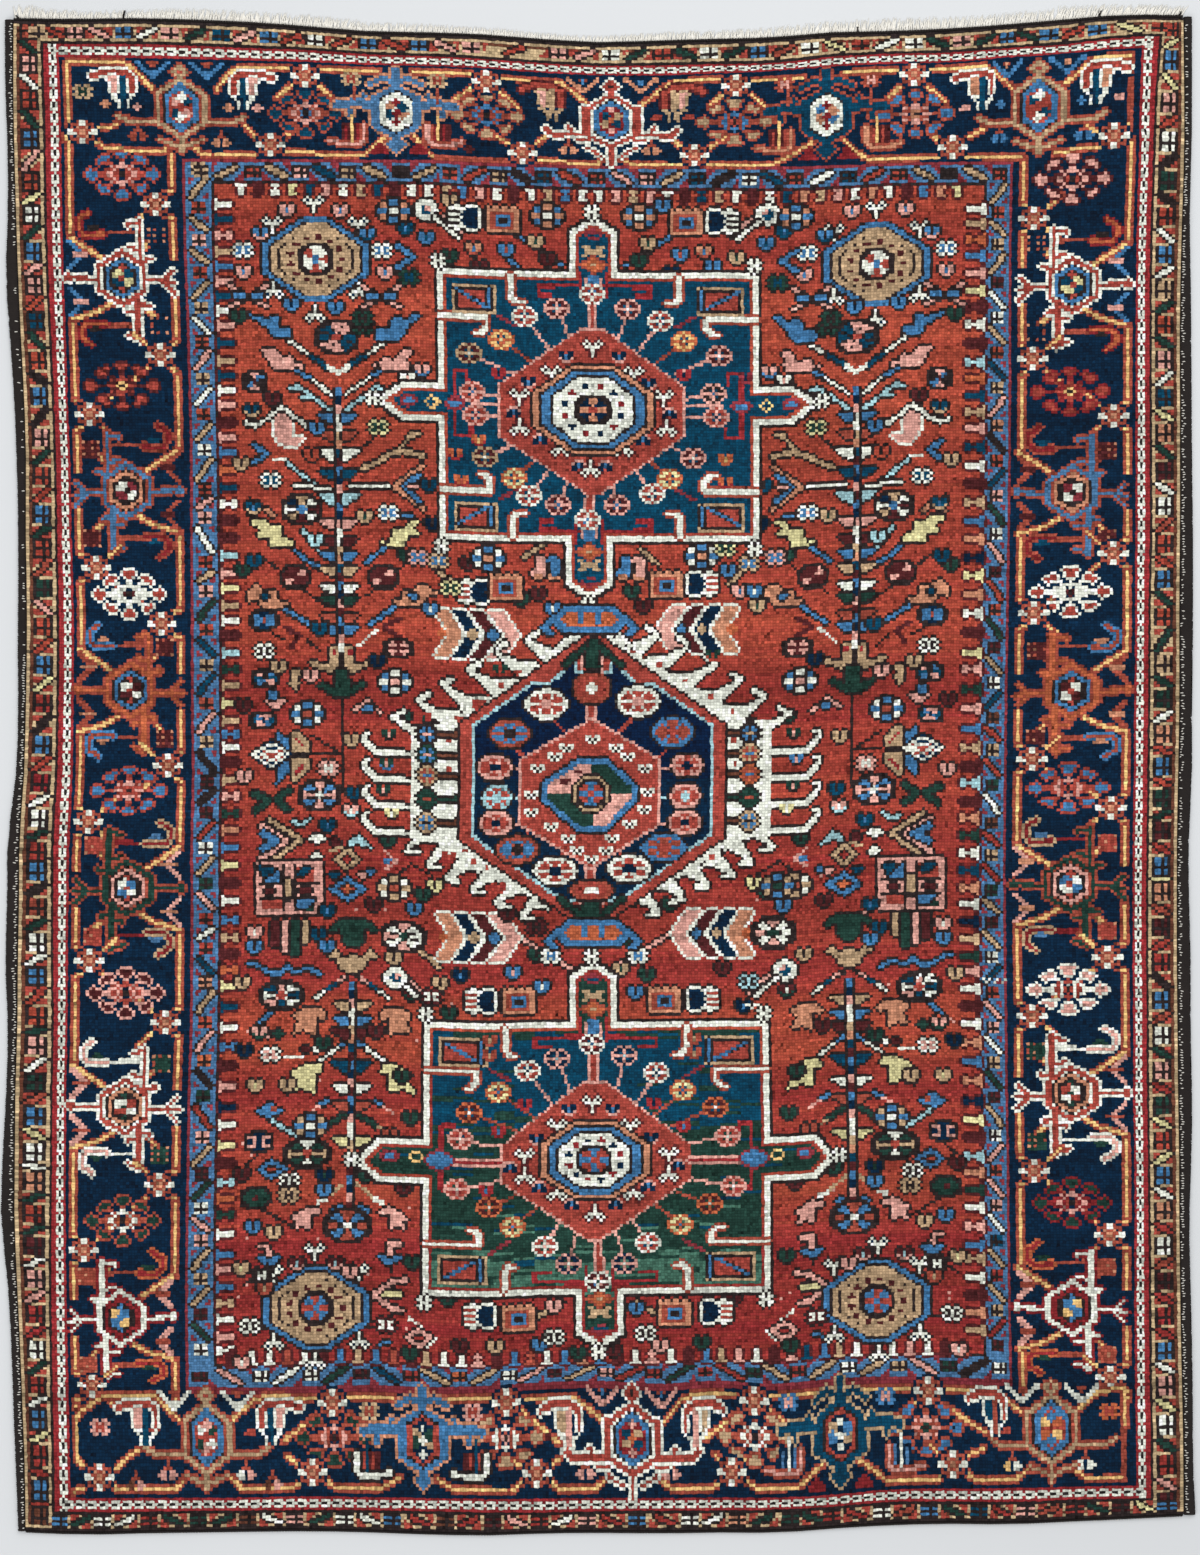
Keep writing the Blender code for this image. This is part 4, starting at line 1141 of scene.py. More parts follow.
def field_side():
    right, lower_right = Pen(391.9, -1, flip_x=-1), Pen(395, -1, flip_x=-1)
    for pen, lower, upper_x, lower_x in ((page, page, 107.7, 112.3), (right, lower_right, 284.2, 283)):
        draw(pen, FIELD_SIDE)
        draw(lower, LOWER_FIELD_SIDE)
        for x, y, wools in ((101, 80.5, "iei"), (100.8, 437, "be")):
            hexagon_rosette(pen.at(x, y)[0], y + (1 if pen is right and y < 200 else 0), wools)
        tree(upper_x, pen.y, 124 + pen.y, 212, LEAVES[0])
        tree(lower_x, pen.y, 326, 405, LEAVES[1])
        draw(Pen(lower_x, pen.y), LOWER_TREE_SIDE)
        draw(Pen(304.5 if pen is right else 90, 294), PANEL)
        for x, y, reach_x, reach_y, wools in entries(PETAL_RINGS):
            petal_ring(*(pen if y < 300 else lower).at(x, y), reach_x, reach_y, wools)
        for motif, x, y, wools, _ in (*figures(SEEDS), *figures(FIELD_SPOTS)):
            (pen if y < 300 else lower).stamp(motif, x, y, wools)
        for x, y in ((78, 93), (123, 93)):
            draw(Pen(*pen.at(x, y)), SPREAD_PETALS)


# The small figures above and below the medallions: the motif, its middle, its wools, and x where it is
# mirrored.
FIGURES = """comb 152 66 vik|239 66 vik x|154 193 vie|232 190 vie x|157 332 vie|233 332 vie x|157 439 vie|
237 439 vie x|house 165 66 hrbk|227 66 hrbk|165 191 hrbk|220 190 hrbk|170 332 hrbk|220 332 hrbk|
170 440 hrbk|223 439 hrbk|blocks 128 64 hbik|264 64 hbik|180 64 bhik|211 64 bhik|159 181 ibhk|
232 180 ibhk|259 293 nbgk|table 178 184 pbhk|207 184 bphk|heart 155 76 hbr|233 76 hbr|166 76 brb|
225 77 brb|244 78 ngn|139 73 btb|254 73 btb|168 322 bpb|205 321 ngn|245 192 pbp|250 192 bib|
quatrefoil 142 183 nbi|248 183 nbi|182 447 i|213 446 i|249 326 l|140 331 mik|146 192 ygk|240 178 ygk|
blossom 206 311 g|176 307 m|181 317 ibi|211 317 ibi|133 87 gtg|258 87 gtg"""
CHEVRON = """
area ud hi 0,-8 5,-8 9.5,0 4.5,0
area ud vi 6,-8 10.5,-8 15.5,-0.4 11,-0.4
area ud mi 12,-8 16.5,-8 22,-0.4 17.4,-0.4
area ud pi 18,-8 23.5,-8 29,0 24,0
diamond o 2.6,0 2.4,2.2
diamond n 13,0 2.2,2
diamond bk 20,0 2.4,2
"""
# Loose branches: wool, start and end.
BRANCHES = """b 169 70.5 184 80.5|b 221 70.5 206 80.5|n 170 181 177 176.5|n 217 183 210 177|
p 168 309 187 320.5|p 222 309 203 319.5|n 175 440 185 434|n 218 440.5 209 434|n 141 186 149 191|
n 247 184 240 190|b 163 76 170 82|n 133 313 143 321"""
TOP_BIRD = """
oval ik -4,-4 4,3.6
oval t -4,-4 1.8,1.8
oval p -3.4,-4.6 1,1
line ik 1.2 -1,-1.6 7,5
line pk 1.6,-2.6 8.4,3.2
"""


def field_motifs():
    field_side()
    for wool, x, y, to_x, to_y in entries(BRANCHES):
        lay(LETTER[wool], page.line((x, y), (to_x, to_y), width=1.1), edge="black")
    for x, y, way in ((140, 207, 1), (244.5, 205, -1), (141, 310, 1), (250.5, 309, -1)):
        draw(Pen(x, y, flip_x=way), CHEVRON)
    for x, y, way in ((142.5, 67.5, 1), (250, 67, -1), (131, 328.5, 1), (257, 326, -1)):
        draw(Pen(x, y, flip_x=way), TOP_BIRD)
    page.stamp_all(MIDDLE_SEEDS)
    page.stamp_all(FIGURES)
    for x, y in ((129.7, 310.4), (257, 309)):
        petal_ring(x, y, 6.8, 4.6, "ipipipig")
    for x, y, way in ((134, 79.5, 1), (259, 79, -1)):
        lay("blue", Pen(x, y, flip_x=way).line((-5, -3.6), (0, 0), (-5, 3.6), width=1.6), edge="black")


def worn_spots():
    """Flecks of bare cotton where the field's pile has worn off, most of them lower down, and worn lines."""
    chance = np.random.default_rng(31)
    often = np.interp(np.arange(ROWS), (0, 240, 300, 360, ROWS), (0, 0, 0.0012, 0.0022, 0.001))[:, None]
    knots[(chance.random((ROWS, COLUMNS)) < often) & (knots == NUMBER["madder"])] = NUMBER["pink"]
    for row, first, last in ((326, 328, 338), (325, 306, 312), (333, 246, 254)):
        for column in range(first, last):
            if chance.random() < 0.7:
                knots[row + (column % 3 == 0), column] = NUMBER["ivory"]


def paint_chart():
    bands()
    chain()
    guards()
    side_border(LEFT_BORDER, 18.5, 52.5)
    side_border(RIGHT_BORDER, 375.5, 341.5)
    end_borders()
    field_edges()
    field_motifs()
    medallions()
    central_medallion()
    worn_spots()


# ---------------------------------------------------------------------------------------------------------
# From the chart to the rug. Guide lines, as pixels of the photograph: where a column or row of knots runs,
# at even steps down or across the rug. Between guides the knots are spread evenly.

COLUMN_GUIDES = {
    0: "16 13.5 16.5 20 25 26.5 27.5 26.5 21.5 19 17.5 15.5 14.5 19 23 26",
    9: "42 42.5 44.5 48 52.5 55.5 57 57 52.5 51 51.5 50.5 49 49 50.5 52",
    16: "60 61 62.5 65 68.5 72 74.5 74 71 68.5 67.5 66.5 65.5 67 69 70.5",
    56: "180 181 183 186.5 189 190.5 191 191.5 191.5 191 190 187.5 185.5 185 186 187",
    67: "213.5 213.5 214.5 216.5 218 220 222 222 222 221.5 220 218.5 216 216 217 218",
    327: "984 984 983 982 981.5 981 979.5 977.5 976 975.5 977 980.5 981.5 983 984 984",
    338: "1012 1012 1011 1010.5 1010 1009 1007.5 1006 1005 1005 1006 1007.5 1008.5 1010.5 1012 1012",
    378: "1141 1138 1136 1135 1134.5 1134 1134 1133 1132 1131.5 1132 1132.5 1133.5 1134 1134.5 1135",
    385: "1162 1155 1152 1151 1151 1151 1149.5 1149 1148 1147 1147.5 1148.5 1149.5 1151 1151.5 1152",
    394: "1181 1183 1181 1179 1179 1178.5 1178 1178 1176 1175.5 1176 1177.5 1178 1180 1181.5 1182",
}
ROW_GUIDES = {
    0: "19 19.5 19 20 23 27.5 32 33 36 40 43 41 39 36 32 31.5 28 23 18.5 15 15.5",
    8: "41 42 42 43.5 46.5 48.5 52.5 54 58 61.5 64 63.5 61.5 59.5 53.5 51.5 49.5 44 41 34 34",
    14: "57 58 59 60 61.5 63 65 66 69 73 75.5 75.5 72.5 69 65.5 63.5 61.5 55 52 48 48",
    47: "157 157 157 157 158 158 158 158 162 163 164 164 164 163 163 161 159 158 157 156 156",
    55: "182 182 182 182.5 182.5 183 183 183 187 188 188.5 189.5 188.5 188 187 184 182.5 182.5 182.5 182.5 "
        "182.5",
    455: "1367 1367 1367 1367 1365 1363.5 1363 1366 1367 1364 1365 1363 1362 1359 1355 1355 1354 1356 1356 "
         "1356 1356",
    464: "1389 1389 1389 1389 1390 1389 1387 1390 1388 1384 1383 1387 1382 1384 1379 1378 1379 1381 1381 "
         "1381 1381",
    496: "1500 1500 1500 1500.5 1500 1499 1500 1501 1501 1501 1501 1501 1500 1498 1496 1491 1491 1490 1489 "
         "1487 1487",
    501: "1514 1514 1514 1513.5 1513 1513 1513 1514.5 1514.5 1515 1514.5 1513.5 1513 1510 1508 1503.5 1504 "
         "1504 1502 1500 1500",
    508: "1533 1534 1533 1532.5 1531.5 1531.5 1532.5 1535 1535 1533 1533.5 1533.5 1532.5 1530 1527 1524.5 "
         "1523.5 1523.5 1521.5 1518 1516.5",
}
EDGE_REACH = 0.03                # a node's points this near its edge are on the edge


def smoothed(values, reach):
    """A run of values with its kinks rounded off, over reach steps each way."""
    padded = np.concatenate([np.full(reach, values[0]), values, np.full(reach, values[-1])])
    weights = np.hanning(2 * reach + 3)[1:-1]
    return np.convolve(padded, weights / weights.sum(), mode="valid")


def guide_shares(guides, count, other_count):
    """For every line of knots, how far across the rug it lies, at every line that crosses it."""
    lines = np.array([line.split() for line in guides.values()], dtype=float)
    shares = (lines - lines[0]) / (lines[-1] - lines[0])
    stations = np.linspace(0, 1, lines.shape[1])
    crossings = np.linspace(0, 1, other_count + 1)
    along = np.array([smoothed(np.interp(crossings, stations, share), 12) for share in shares])
    keys = list(guides)
    return np.array([np.interp(np.arange(count + 1), keys, shares) for shares in along.T])


def node_points(name):
    """The points of a CAD node, in the frame's metres."""
    node = bpy.data.objects.get(name) or next(thing for thing in bpy.data.objects
                                              if thing.get("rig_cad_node") == name)
    return np.array([node.matrix_world @ vert.co for vert in node.data.vertices])


def edge_line(points, across, side, reach=EDGE_REACH):
    """The points on one edge: their places along it in order, and their places across."""
    limit = side * (side * points[:, across]).max()
    near = points[np.abs(points[:, across] - limit) < reach]
    near = near[np.argsort(near[:, 1 - across])]
    return near[:, 1 - across], near[:, across]


def knot_corners():
    """The x and y of every corner between knots, row by row from the top end."""
    points = node_points("carpet")
    left, right = edge_line(points, 0, -1), edge_line(points, 0, 1)
    top, bottom = edge_line(points, 1, 1, 0.04), edge_line(points, 1, -1)
    share_x = guide_shares(COLUMN_GUIDES, COLUMNS, ROWS)
    share_y = guide_shares(ROW_GUIDES, ROWS, COLUMNS).T
    x = np.interp(share_x, (0, 1), (points[:, 0].min(), points[:, 0].max()))
    y = np.interp(share_y, (0, 1), (points[:, 1].max(), points[:, 1].min()))
    for _ in range(4):
        start, end = np.interp(y, *left), np.interp(y, *right)
        x = start + (end - start) * share_x
        start, end = np.interp(x, *top), np.interp(x, *bottom)
        y = start + (end - start) * share_y
    return x, y


# ---------------------------------------------------------------------------------------------------------
# Colours of the single knots.

def linear(colour):
    """A colour of 0 to 255 as light."""
    share = np.asarray(colour, dtype=float) / 255
    return np.where(share <= 0.04045, share / 12.92, ((share + 0.055) / 1.055) ** 2.4)


def drift(chance, count, reach, strength):
    """A slow random drift down or across the rug, round 1."""
    steps = chance.normal(0, 1, count + 2 * reach)
    slow = smoothed(steps, reach)[reach:reach + count]
    return 1 + strength * slow / max(slow.std(), 1e-6)


# The field's red changes from one dye lot to the next: a row, and its share of crimson there.
BRICK_LOT, CRIMSON_LOT = (165, 73, 54), (136, 43, 44)
RED_LOTS = """50 0.4|60 0.25|74 0.65|92 0.1|128 0.1|150 0.3|186 0.4|204 0.2|226 0.8|244 0.55|262 0.35|
284 0.8|300 0.6|311 0.5|321 0.9|335 0.1|350 0.1|363 0.75|378 0.5|398 0.2|412 0.75|440 0.95|456 0.7"""


def knot_colours():
    """The colour of every knot: its wool, the dye's changes from row to row, and each yarn's own shade."""
    chance = np.random.default_rng(21)
    table = np.array([linear(colour) for letter, colour in WOOLS.values()])
    lot = np.interp(np.arange(ROWS), *zip(*entries(RED_LOTS)))[:, None]
    lot = np.clip(lot + 0.10 * chance.normal(0, 1, (ROWS, 1)), 0, 1)[:, :, None]
    ground = linear(BRICK_LOT) * (1 - lot) + linear(CRIMSON_LOT) * lot
    colours = np.where((knots == NUMBER["madder"])[:, :, None], ground, table[knots])
    abrash = drift(chance, ROWS, 5, 0.06) * drift(chance, ROWS, 2, 0.05)
    streaks = np.array([smoothed(row, 7) for row in chance.normal(0, 1, (ROWS, COLUMNS))])
    colours = colours * abrash[:, None, None] * (1 + 0.07 * streaks / streaks.std())[:, :, None]
    colours = colours * (1 + 0.23 * chance.normal(0, 1, (ROWS, COLUMNS, 1)))
    return np.clip(colours, 0.002, 0.95)


# ---------------------------------------------------------------------------------------------------------
# Materials.

class Socket:
    """A shader value that sums, products and comparisons are written with."""

    def __init__(self, tree, output):
        self.tree, self.output = tree, output

    def reckon(self, operation, *others):
        node = self.tree.nodes.new("ShaderNodeMath")
        node.operation = operation
        for socket, value in zip(node.inputs, (self, *others)):
            if isinstance(value, Socket):
                self.tree.links.new(value.output, socket)
            else:
                socket.default_value = value
        return Socket(self.tree, node.outputs[0])

    def __add__(self, other):
        return self.reckon("ADD", other)

    def __sub__(self, other):
        return self.reckon("SUBTRACT", other)

    def __mul__(self, other):
        return self.reckon("MULTIPLY", other)


class Finish:
    """A material, with one way to add a node to it."""

    def __init__(self, name):
        self.material = bpy.data.materials.new(name)
        self.material.use_nodes = True
        self.tree = self.material.node_tree
        self.shader = self.tree.nodes["Principled BSDF"]

    def node(self, kind, settings=None, sockets=None, output=0):
        made = self.tree.nodes.new("ShaderNode" + kind)
        for name, value in (settings or {}).items():
            setattr(made, name, value)
        for name, value in (sockets or {}).items():
            self.set(made.inputs[name], value)
        return Socket(self.tree, made.outputs[output])

    def set(self, socket, value):
        if isinstance(value, Socket):
            self.tree.links.new(value.output, socket)
        else:
            socket.default_value = value

    def noise(self, scale, detail, roughness=0.6):
        place = self.node("TexCoord", output=3)
        return self.node("TexNoise", sockets={"Vector": place, "Scale": scale, "Detail": detail,
                                              "Roughness": roughness})

    def mixed(self, share, one, two, **settings):
        """A mix of two colours."""
        mix = self.node("Mix", {"data_type": "RGBA", **settings}, output=2)
        for number, value in ((0, share), (6, one), (7, two)):
            self.set(mix.output.node.inputs[number], value)
        return mix

    def woolly(self, colour, height, strength, depth, gloss, sheen):
        """A rough coloured surface with raised hairs."""
        bump = self.node("Bump", sockets={"Height": height, "Strength": strength, "Distance": depth})
        return self.looks(Base_Color=colour, Roughness=0.9, Normal=bump, Specular_IOR_Level=gloss,
                          Sheen_Weight=sheen, Sheen_Roughness=0.5)

    def looks(self, **values):
        for name, value in values.items():
            self.set(self.shader.inputs[name.replace("_", " ")], value)
        return self.material


def pile_finish(name="knotted_pile"):
    finish = Finish(name)
    dye = finish.node("VertexColor", {"layer_name": "Dye"})
    knot = finish.node("UVMap", {"uv_map": "KnotGrid"})
    across = finish.node("SeparateXYZ", sockets={"Vector": knot})
    along = Socket(finish.tree, across.output.node.outputs[1])

    def swell(value):
        """0 in the groove between knots, 1 on the knot's back: the bump's height, and the painted shade in the
        grooves.
        """
        inside = value.reckon("FRACT") - 0.5
        return (inside * inside * -4.0) + 1.0

    knot_back = swell(across).reckon("SQRT") * swell(along)
    fibre, patches = finish.noise(900.0, 3.0), finish.noise(9.0, 5.0)
    # Painted shade: the dye is darkened in the grooves between knots and rows, with random fibre and patch tones
    # laid over it.
    shade = (knot_back * 0.46 + 0.72) * (fibre * 0.5 + 0.75) * (patches * 0.24 + 0.88)
    groove_shade_and_fibre_tint = finish.node("CombineXYZ", sockets={"X": shade, "Y": shade, "Z": shade})
    colour = finish.mixed(1.0, dye, groove_shade_and_fibre_tint, blend_type="MULTIPLY")
    return finish.woolly(colour, knot_back * 0.6 + fibre * 0.5, 0.5, 1.2 * MM, 0.1, 0.03)


def wool_finish(name, colour, pale, scale=700.0):
    """Yarn: a colour with darker and lighter hairs along it."""
    finish = Finish(name)
    hairs, patches = finish.noise(scale, 4.0, 0.65), finish.noise(14.0, 4.0)
    colours = [(*linear(tone), 1) for tone in (colour, pale)]
    mix = finish.mixed(hairs * 0.7 + patches * 0.5 - 0.2, *colours)
    return finish.woolly(mix, hairs, 0.4, 0.8 * MM, 0.15, 0.05)


# ---------------------------------------------------------------------------------------------------------
# Pieces.

STRIPS = 6
PILE_FOOT = 3.2 * MM             # where the tufts leave the weave
PILE_TOP = 7.7 * MM
BACK_TOP = 3.4 * MM
TUFT_WEAR = 0.0006               # how far the tufts stay under the pile's top
WANDER = (0.00040, 0.00036, 0.00012)    # how far a knot's corners stray across, along and upwards


def finished(name, shape, material, *nodes, slot=None):
    """An object out of a finished bmesh, riding on the rug."""
    mesh = bpy.data.meshes.new(name)
    shape.to_mesh(mesh)
    shape.free()
    mesh.materials.append(material)
    piece = bpy.data.objects.new(name, mesh)
    bpy.context.collection.objects.link(piece)
    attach(piece, "root")
    if nodes:
        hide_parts(*nodes)
    return piece


def pile_height(x, y):
    """How the worn pile's top rises and sinks, as in the solid."""
    return 0.0007 * (0.5 * np.sin(9 * x + 2) * np.cos(7 * y) + 0.3 * np.sin(23 * y + 5 * x)
                     + 0.2 * np.cos(31 * x - 17 * y))


def closed_sheet(name, x, y, top, foot, colours, material, first_column, fold, nodes=(), slot=None):
    """A closed cloth over a grid of corners: a top face for each knot, a skirt to foot and a flat underside."""
    rows, columns = x.shape[0] - 1, x.shape[1] - 1
    shape = bmesh.new()
    bmesh.ops.create_grid(shape, x_segments=columns, y_segments=rows, size=0.5)
    dye = shape.loops.layers.float_color.new("Dye")
    bake = shape.loops.layers.uv.new("OFBake")
    knot = shape.loops.layers.uv.new("KnotGrid")
    for vert in shape.verts:
        column, row = round((vert.co.x + 0.5) * columns), round((0.5 - vert.co.y) * rows)
        vert.co = (x[row, column], y[row, column], top[row, column])
        vert.index = row * (columns + 1) + column
    fold_rows = -(-rows // fold)
    for face in shape.faces:
        face.smooth = True
        places = [divmod(loop.vert.index, columns + 1) for loop in face.loops]
        row, column = min(place[0] for place in places), min(place[1] for place in places)
        panel, step = divmod(row, fold_rows)
        colour = (*colours[row, column], 1.0)
        for loop, (loop_row, loop_column) in zip(face.loops, places):
            loop[dye] = colour
            loop[knot].uv = (first_column + loop_column, loop_row)
            loop[bake].uv = ((panel + 0.01 + 0.98 * loop_column / columns) / fold,
                             1 - (0.005 + 0.99 * (step + loop_row - row) / fold_rows))
    rim = [edge for edge in shape.edges if edge.is_boundary]
    for edge in rim:
        edge.smooth = False
    skirt = bmesh.ops.extrude_edge_only(shape, edges=rim)["geom"]
    for part in skirt:
        if isinstance(part, bmesh.types.BMVert):
            part.co.z = foot
    bmesh.ops.holes_fill(shape, edges=[edge for edge in shape.edges if edge.is_boundary])
    bmesh.ops.recalc_face_normals(shape, faces=shape.faces)
    return finished(name, shape, material, *nodes, slot=slot)


def pile_and_back():
    x, y = knot_corners()
    colours = knot_colours()
    chance = np.random.default_rng(8)
    inside = np.zeros(x.shape, dtype=bool)
    inside[1:-1, 1:-1] = True
    wander_x, wander_y = [np.where(inside, reach * chance.normal(0, 1, x.shape), 0) for reach in WANDER[:2]]
    tufts = PILE_TOP - TUFT_WEAR + pile_height(x, y) + WANDER[2] * chance.normal(0, 1, x.shape)
    x, y = x + wander_x, y + wander_y
    finish = pile_finish()
    edges = np.linspace(0, COLUMNS, STRIPS + 1).round().astype(int)
    strips = []
    for number, (first, last) in enumerate(zip(edges, edges[1:]), start=1):
        part = np.s_[:, first:last + 1]
        strips.append(closed_sheet(f"pile_width_{number}", x[part], y[part], tufts[part], PILE_FOOT,
                                   colours[:, first:last], finish, int(first), 3, nodes=("carpet",),
                                   slot="knotted_pile"))
    return x, y, colours, strips


def weave_back(x, y, colours):
    """The woven back, which shows the same pattern in coarser knots on its underside."""
    step = slice(None, None, 2)
    x, y = x[step, step], y[step, step]
    underside = np.full(x.shape, 0.0003) + 0.0002 * (1 + np.sin(700 * y))
    return closed_sheet("woven_back", x, y, underside, BACK_TOP, colours[step, step] * 0.8,
                        pile_finish("woven_back"), 0, 1, nodes=("carpet",), slot="knotted_pile")


SECTION_GAP = 5 * MM             # a CAD bar's sections lie further apart than this


def sections(node, along):
    """A CAD bar's sections in order: their places along it, and its lower and upper edge at each."""
    points = node_points(node)
    points = points[np.argsort(points[:, along])]
    cuts = np.nonzero(np.diff(points[:, along]) > SECTION_GAP)[0] + 1
    rings = np.split(points, cuts)
    return np.array([(ring[:, along].mean(), ring[:, 1 - along].min(), ring[:, 1 - along].max())
                     for ring in rings]).T


def yarns(name, runs, thickness, material, sides=1, *nodes, slot=None):
    """Lengths of yarn, each a run of points with the yarn's width there as a share of its thickness."""
    line = bpy.data.curves.new(name, "CURVE")
    line.dimensions = "3D"
    line.bevel_depth = thickness / 2
    line.bevel_resolution = sides
    line.use_fill_caps = True
    for points, widths in runs:
        spline = line.splines.new("POLY")
        spline.points.add(len(points) - 1)
        spline.points.foreach_set("co", np.column_stack([points, np.ones(len(points))]).ravel())
        spline.points.foreach_set("radius", np.asarray(widths, dtype=float))
    drawn = bpy.data.objects.new(name, line)
    bpy.context.collection.objects.link(drawn)
    solid = bpy.data.meshes.new_from_object(drawn)
    bpy.data.objects.remove(drawn)
    shape = bmesh.new()
    shape.from_mesh(solid)
    bmesh.ops.remove_doubles(shape, verts=shape.verts, dist=1e-6)
    for face in shape.faces:
        face.smooth = True
    bmesh.ops.recalc_face_normals(shape, faces=shape.faces)
    return finished(name, shape, material, *nodes, slot=slot)


WRAP = 2.6 * MM                  # from one turn of the binding wool to the next
WRAP_STEPS, WRAP_SIDES = 4, 12
SIDE_MIDDLE, SIDE_HALF = 3.6 * MM, 3.05 * MM     # the wound side's middle above the floor, and half its height


def overcast_side(side, material):
    """The dark wool wound over a side, turn by turn."""
    places, low, high = sections("binding_" + side, 1)
    turns = int((places[-1] - places[0]) / WRAP)
    steps = turns * WRAP_STEPS
    chance = np.random.default_rng(3 if side == "left" else 4)
    along = np.linspace(places[0], places[-1], steps + 1)
    inner_edge = np.interp(along, places, low)
    outer_edge = np.interp(along, places, high)
    middle, half = (inner_edge + outer_edge) / 2, (outer_edge - inner_edge) / 2
    fullness = np.repeat(chance.normal(0, 0.035, turns + 1), WRAP_STEPS)[:steps + 1]
    shape = bmesh.new()
    bmesh.ops.create_grid(shape, x_segments=WRAP_SIDES, y_segments=steps, size=0.5)
    for vert in shape.verts:
        angle = tau * (vert.co.x + 0.5)
        step = round((vert.co.y + 0.5) * steps)
        ridge = 0.5 + 0.5 * cos(tau * step / WRAP_STEPS + 0.9 * angle)
        reach = 0.90 + 0.13 * ridge + fullness[step]
        across = abs(cos(angle)) ** 0.8 * (1 if cos(angle) > 0 else -1)
        vert.co = (middle[step] + half[step] * across * min(reach, 1.05), along[step],
                   SIDE_MIDDLE + SIDE_HALF * sin(angle) * reach)
    bmesh.ops.remove_doubles(shape, verts=shape.verts, dist=1e-5)
    bmesh.ops.holes_fill(shape, edges=[edge for edge in shape.edges if edge.is_boundary])
    for face in shape.faces:
        face.smooth = len(face.verts) == 4
    bmesh.ops.recalc_face_normals(shape, faces=shape.faces)
    return finished("overcast_" + side, shape, material, "binding_" + side, slot="dark_wool")


# Where the pale thread of the overcast shows: from and to, as shares of the way down a side.
STITCHED = {"left": ((0.0, 0.15, 0.8), (0.15, 0.42, 0.2), (0.42, 1.0, 0.85)),
            "right": ((0.0, 0.06, 0.5), (0.06, 1.0, 0.85))}
STITCH_STEP, STITCH_YARN, STITCH_TOP = 3.1 * MM, 1.3 * MM, 6.9 * MM


def side_stitches(side, material):
    """Short pale stitches that hold a side's wool to the carpet."""
    places, low, high = sections("binding_" + side, 1)
    chance = np.random.default_rng(6 if side == "left" else 7)
    runs = []
    outward = -1 if side == "left" else 1
    for place in np.arange(places[0] + 0.004, places[-1] - 0.004, STITCH_STEP):
        share = (places[-1] - place) / (places[-1] - places[0])
        shows = next(often for first, last, often in STITCHED[side] if share <= last + 1e-6)
        if chance.random() > shows:
            continue
        edges = np.interp(place, places, low), np.interp(place, places, high)
        inner, width = (edges[1] if side == "left" else edges[0]), edges[1] - edges[0]
        start = inner + outward * width * chance.uniform(0.06, 0.28)
        reach = outward * chance.uniform(1.4, 3.8) * MM
        lean = chance.uniform(-0.9, 0.9) * MM
        points = [(start + reach * share, place + lean * share, STITCH_TOP + lift * MM)
                  for share, lift in ((0, -0.6), (0.3, 0.25), (0.7, 0.25), (1, -0.6))]
        runs.append((np.array(points), (0.7, 1, 1, 0.7)))
    return yarns("side_stitches_" + side, runs, STITCH_YARN, material)


PLY_YARN, PLY_TURN, PLY_STEP, PLY_REACH = 2.5 * MM, 6.5 * MM, 0.95 * MM, 0.95 * MM


def twisted_end(end, material):
    """The two-ply dark cord along an end."""
    places, low, high = sections("end_cord_" + end, 0)
    runs = []
    along = np.arange(places[0], places[-1], PLY_STEP)
    middle = np.interp(along, places, (low + high) / 2)
    for ply in (0, pi):
        turn = tau * along / PLY_TURN + ply
        height = 3.1 * MM + 1.5 * MM * np.sin(turn)
        points = np.column_stack([along, middle + PLY_REACH * np.cos(turn), height])
        runs.append((points, np.full(len(points), 1.0)))
    return yarns("twisted_end_" + end, runs, PLY_YARN, material, 1, "end_cord_" + end, slot="dark_wool")


# Loose dark ends at the top: how far along the end, as a share, and how far they reach and lean, in pixels.
LOOSE_ENDS = ((0.0936, 9, 1.5), (0.722, 6, -1), (0.9285, 7, 1), (0.996, 5, 4), (0.004, 4, -3))


WARP_YARN, WARP_STEP = 1.8 * MM, 1.05 * MM


def top_fringe(material):
    """The cut warps along the top end, some thirteen hundred tapering strands."""
    points = node_points("fringe_top")
    chance = np.random.default_rng(12)
    places, low, high = sections("end_cord_top", 0)
    runs = []
    for x in np.arange(places[0] + 0.001, places[-1] - 0.001, WARP_STEP):
        x = x + chance.normal(0, 0.25) * MM
        root = np.interp(x, places, high) - 0.6 * MM
        near = points[np.abs(points[:, 0] - x) < 0.012]
        tip = near[:, 1].max() if len(near) else root + 0.01
        share = (x - places[0]) / (places[-1] - places[0])
        reach = max(tip - root, 0.004) * chance.uniform(0.62, 1.0)
        lean = (0.10 + 0.5 * max(share - 0.8, 0) / 0.2 + 0.22 * chance.normal()) * reach
        sway = chance.normal(0, 0.8) * MM
        height = chance.uniform(1.0, 3.4) * MM
        line = [(x, root, height), (x + lean * 0.3 + sway * 0.5, root + reach * 0.35, height + 0.4 * MM),
                (x + lean * 0.65 + sway, root + reach * 0.7, height * 0.8),
                (x + lean, root + reach, height * 0.5 + 0.3 * MM)]
        runs.append((np.array(line), (1.0, 0.95, 0.7, 0.3)))
    return yarns("cut_fringe", runs, WARP_YARN, material, 0, "fringe_top", slot="warp_cotton")


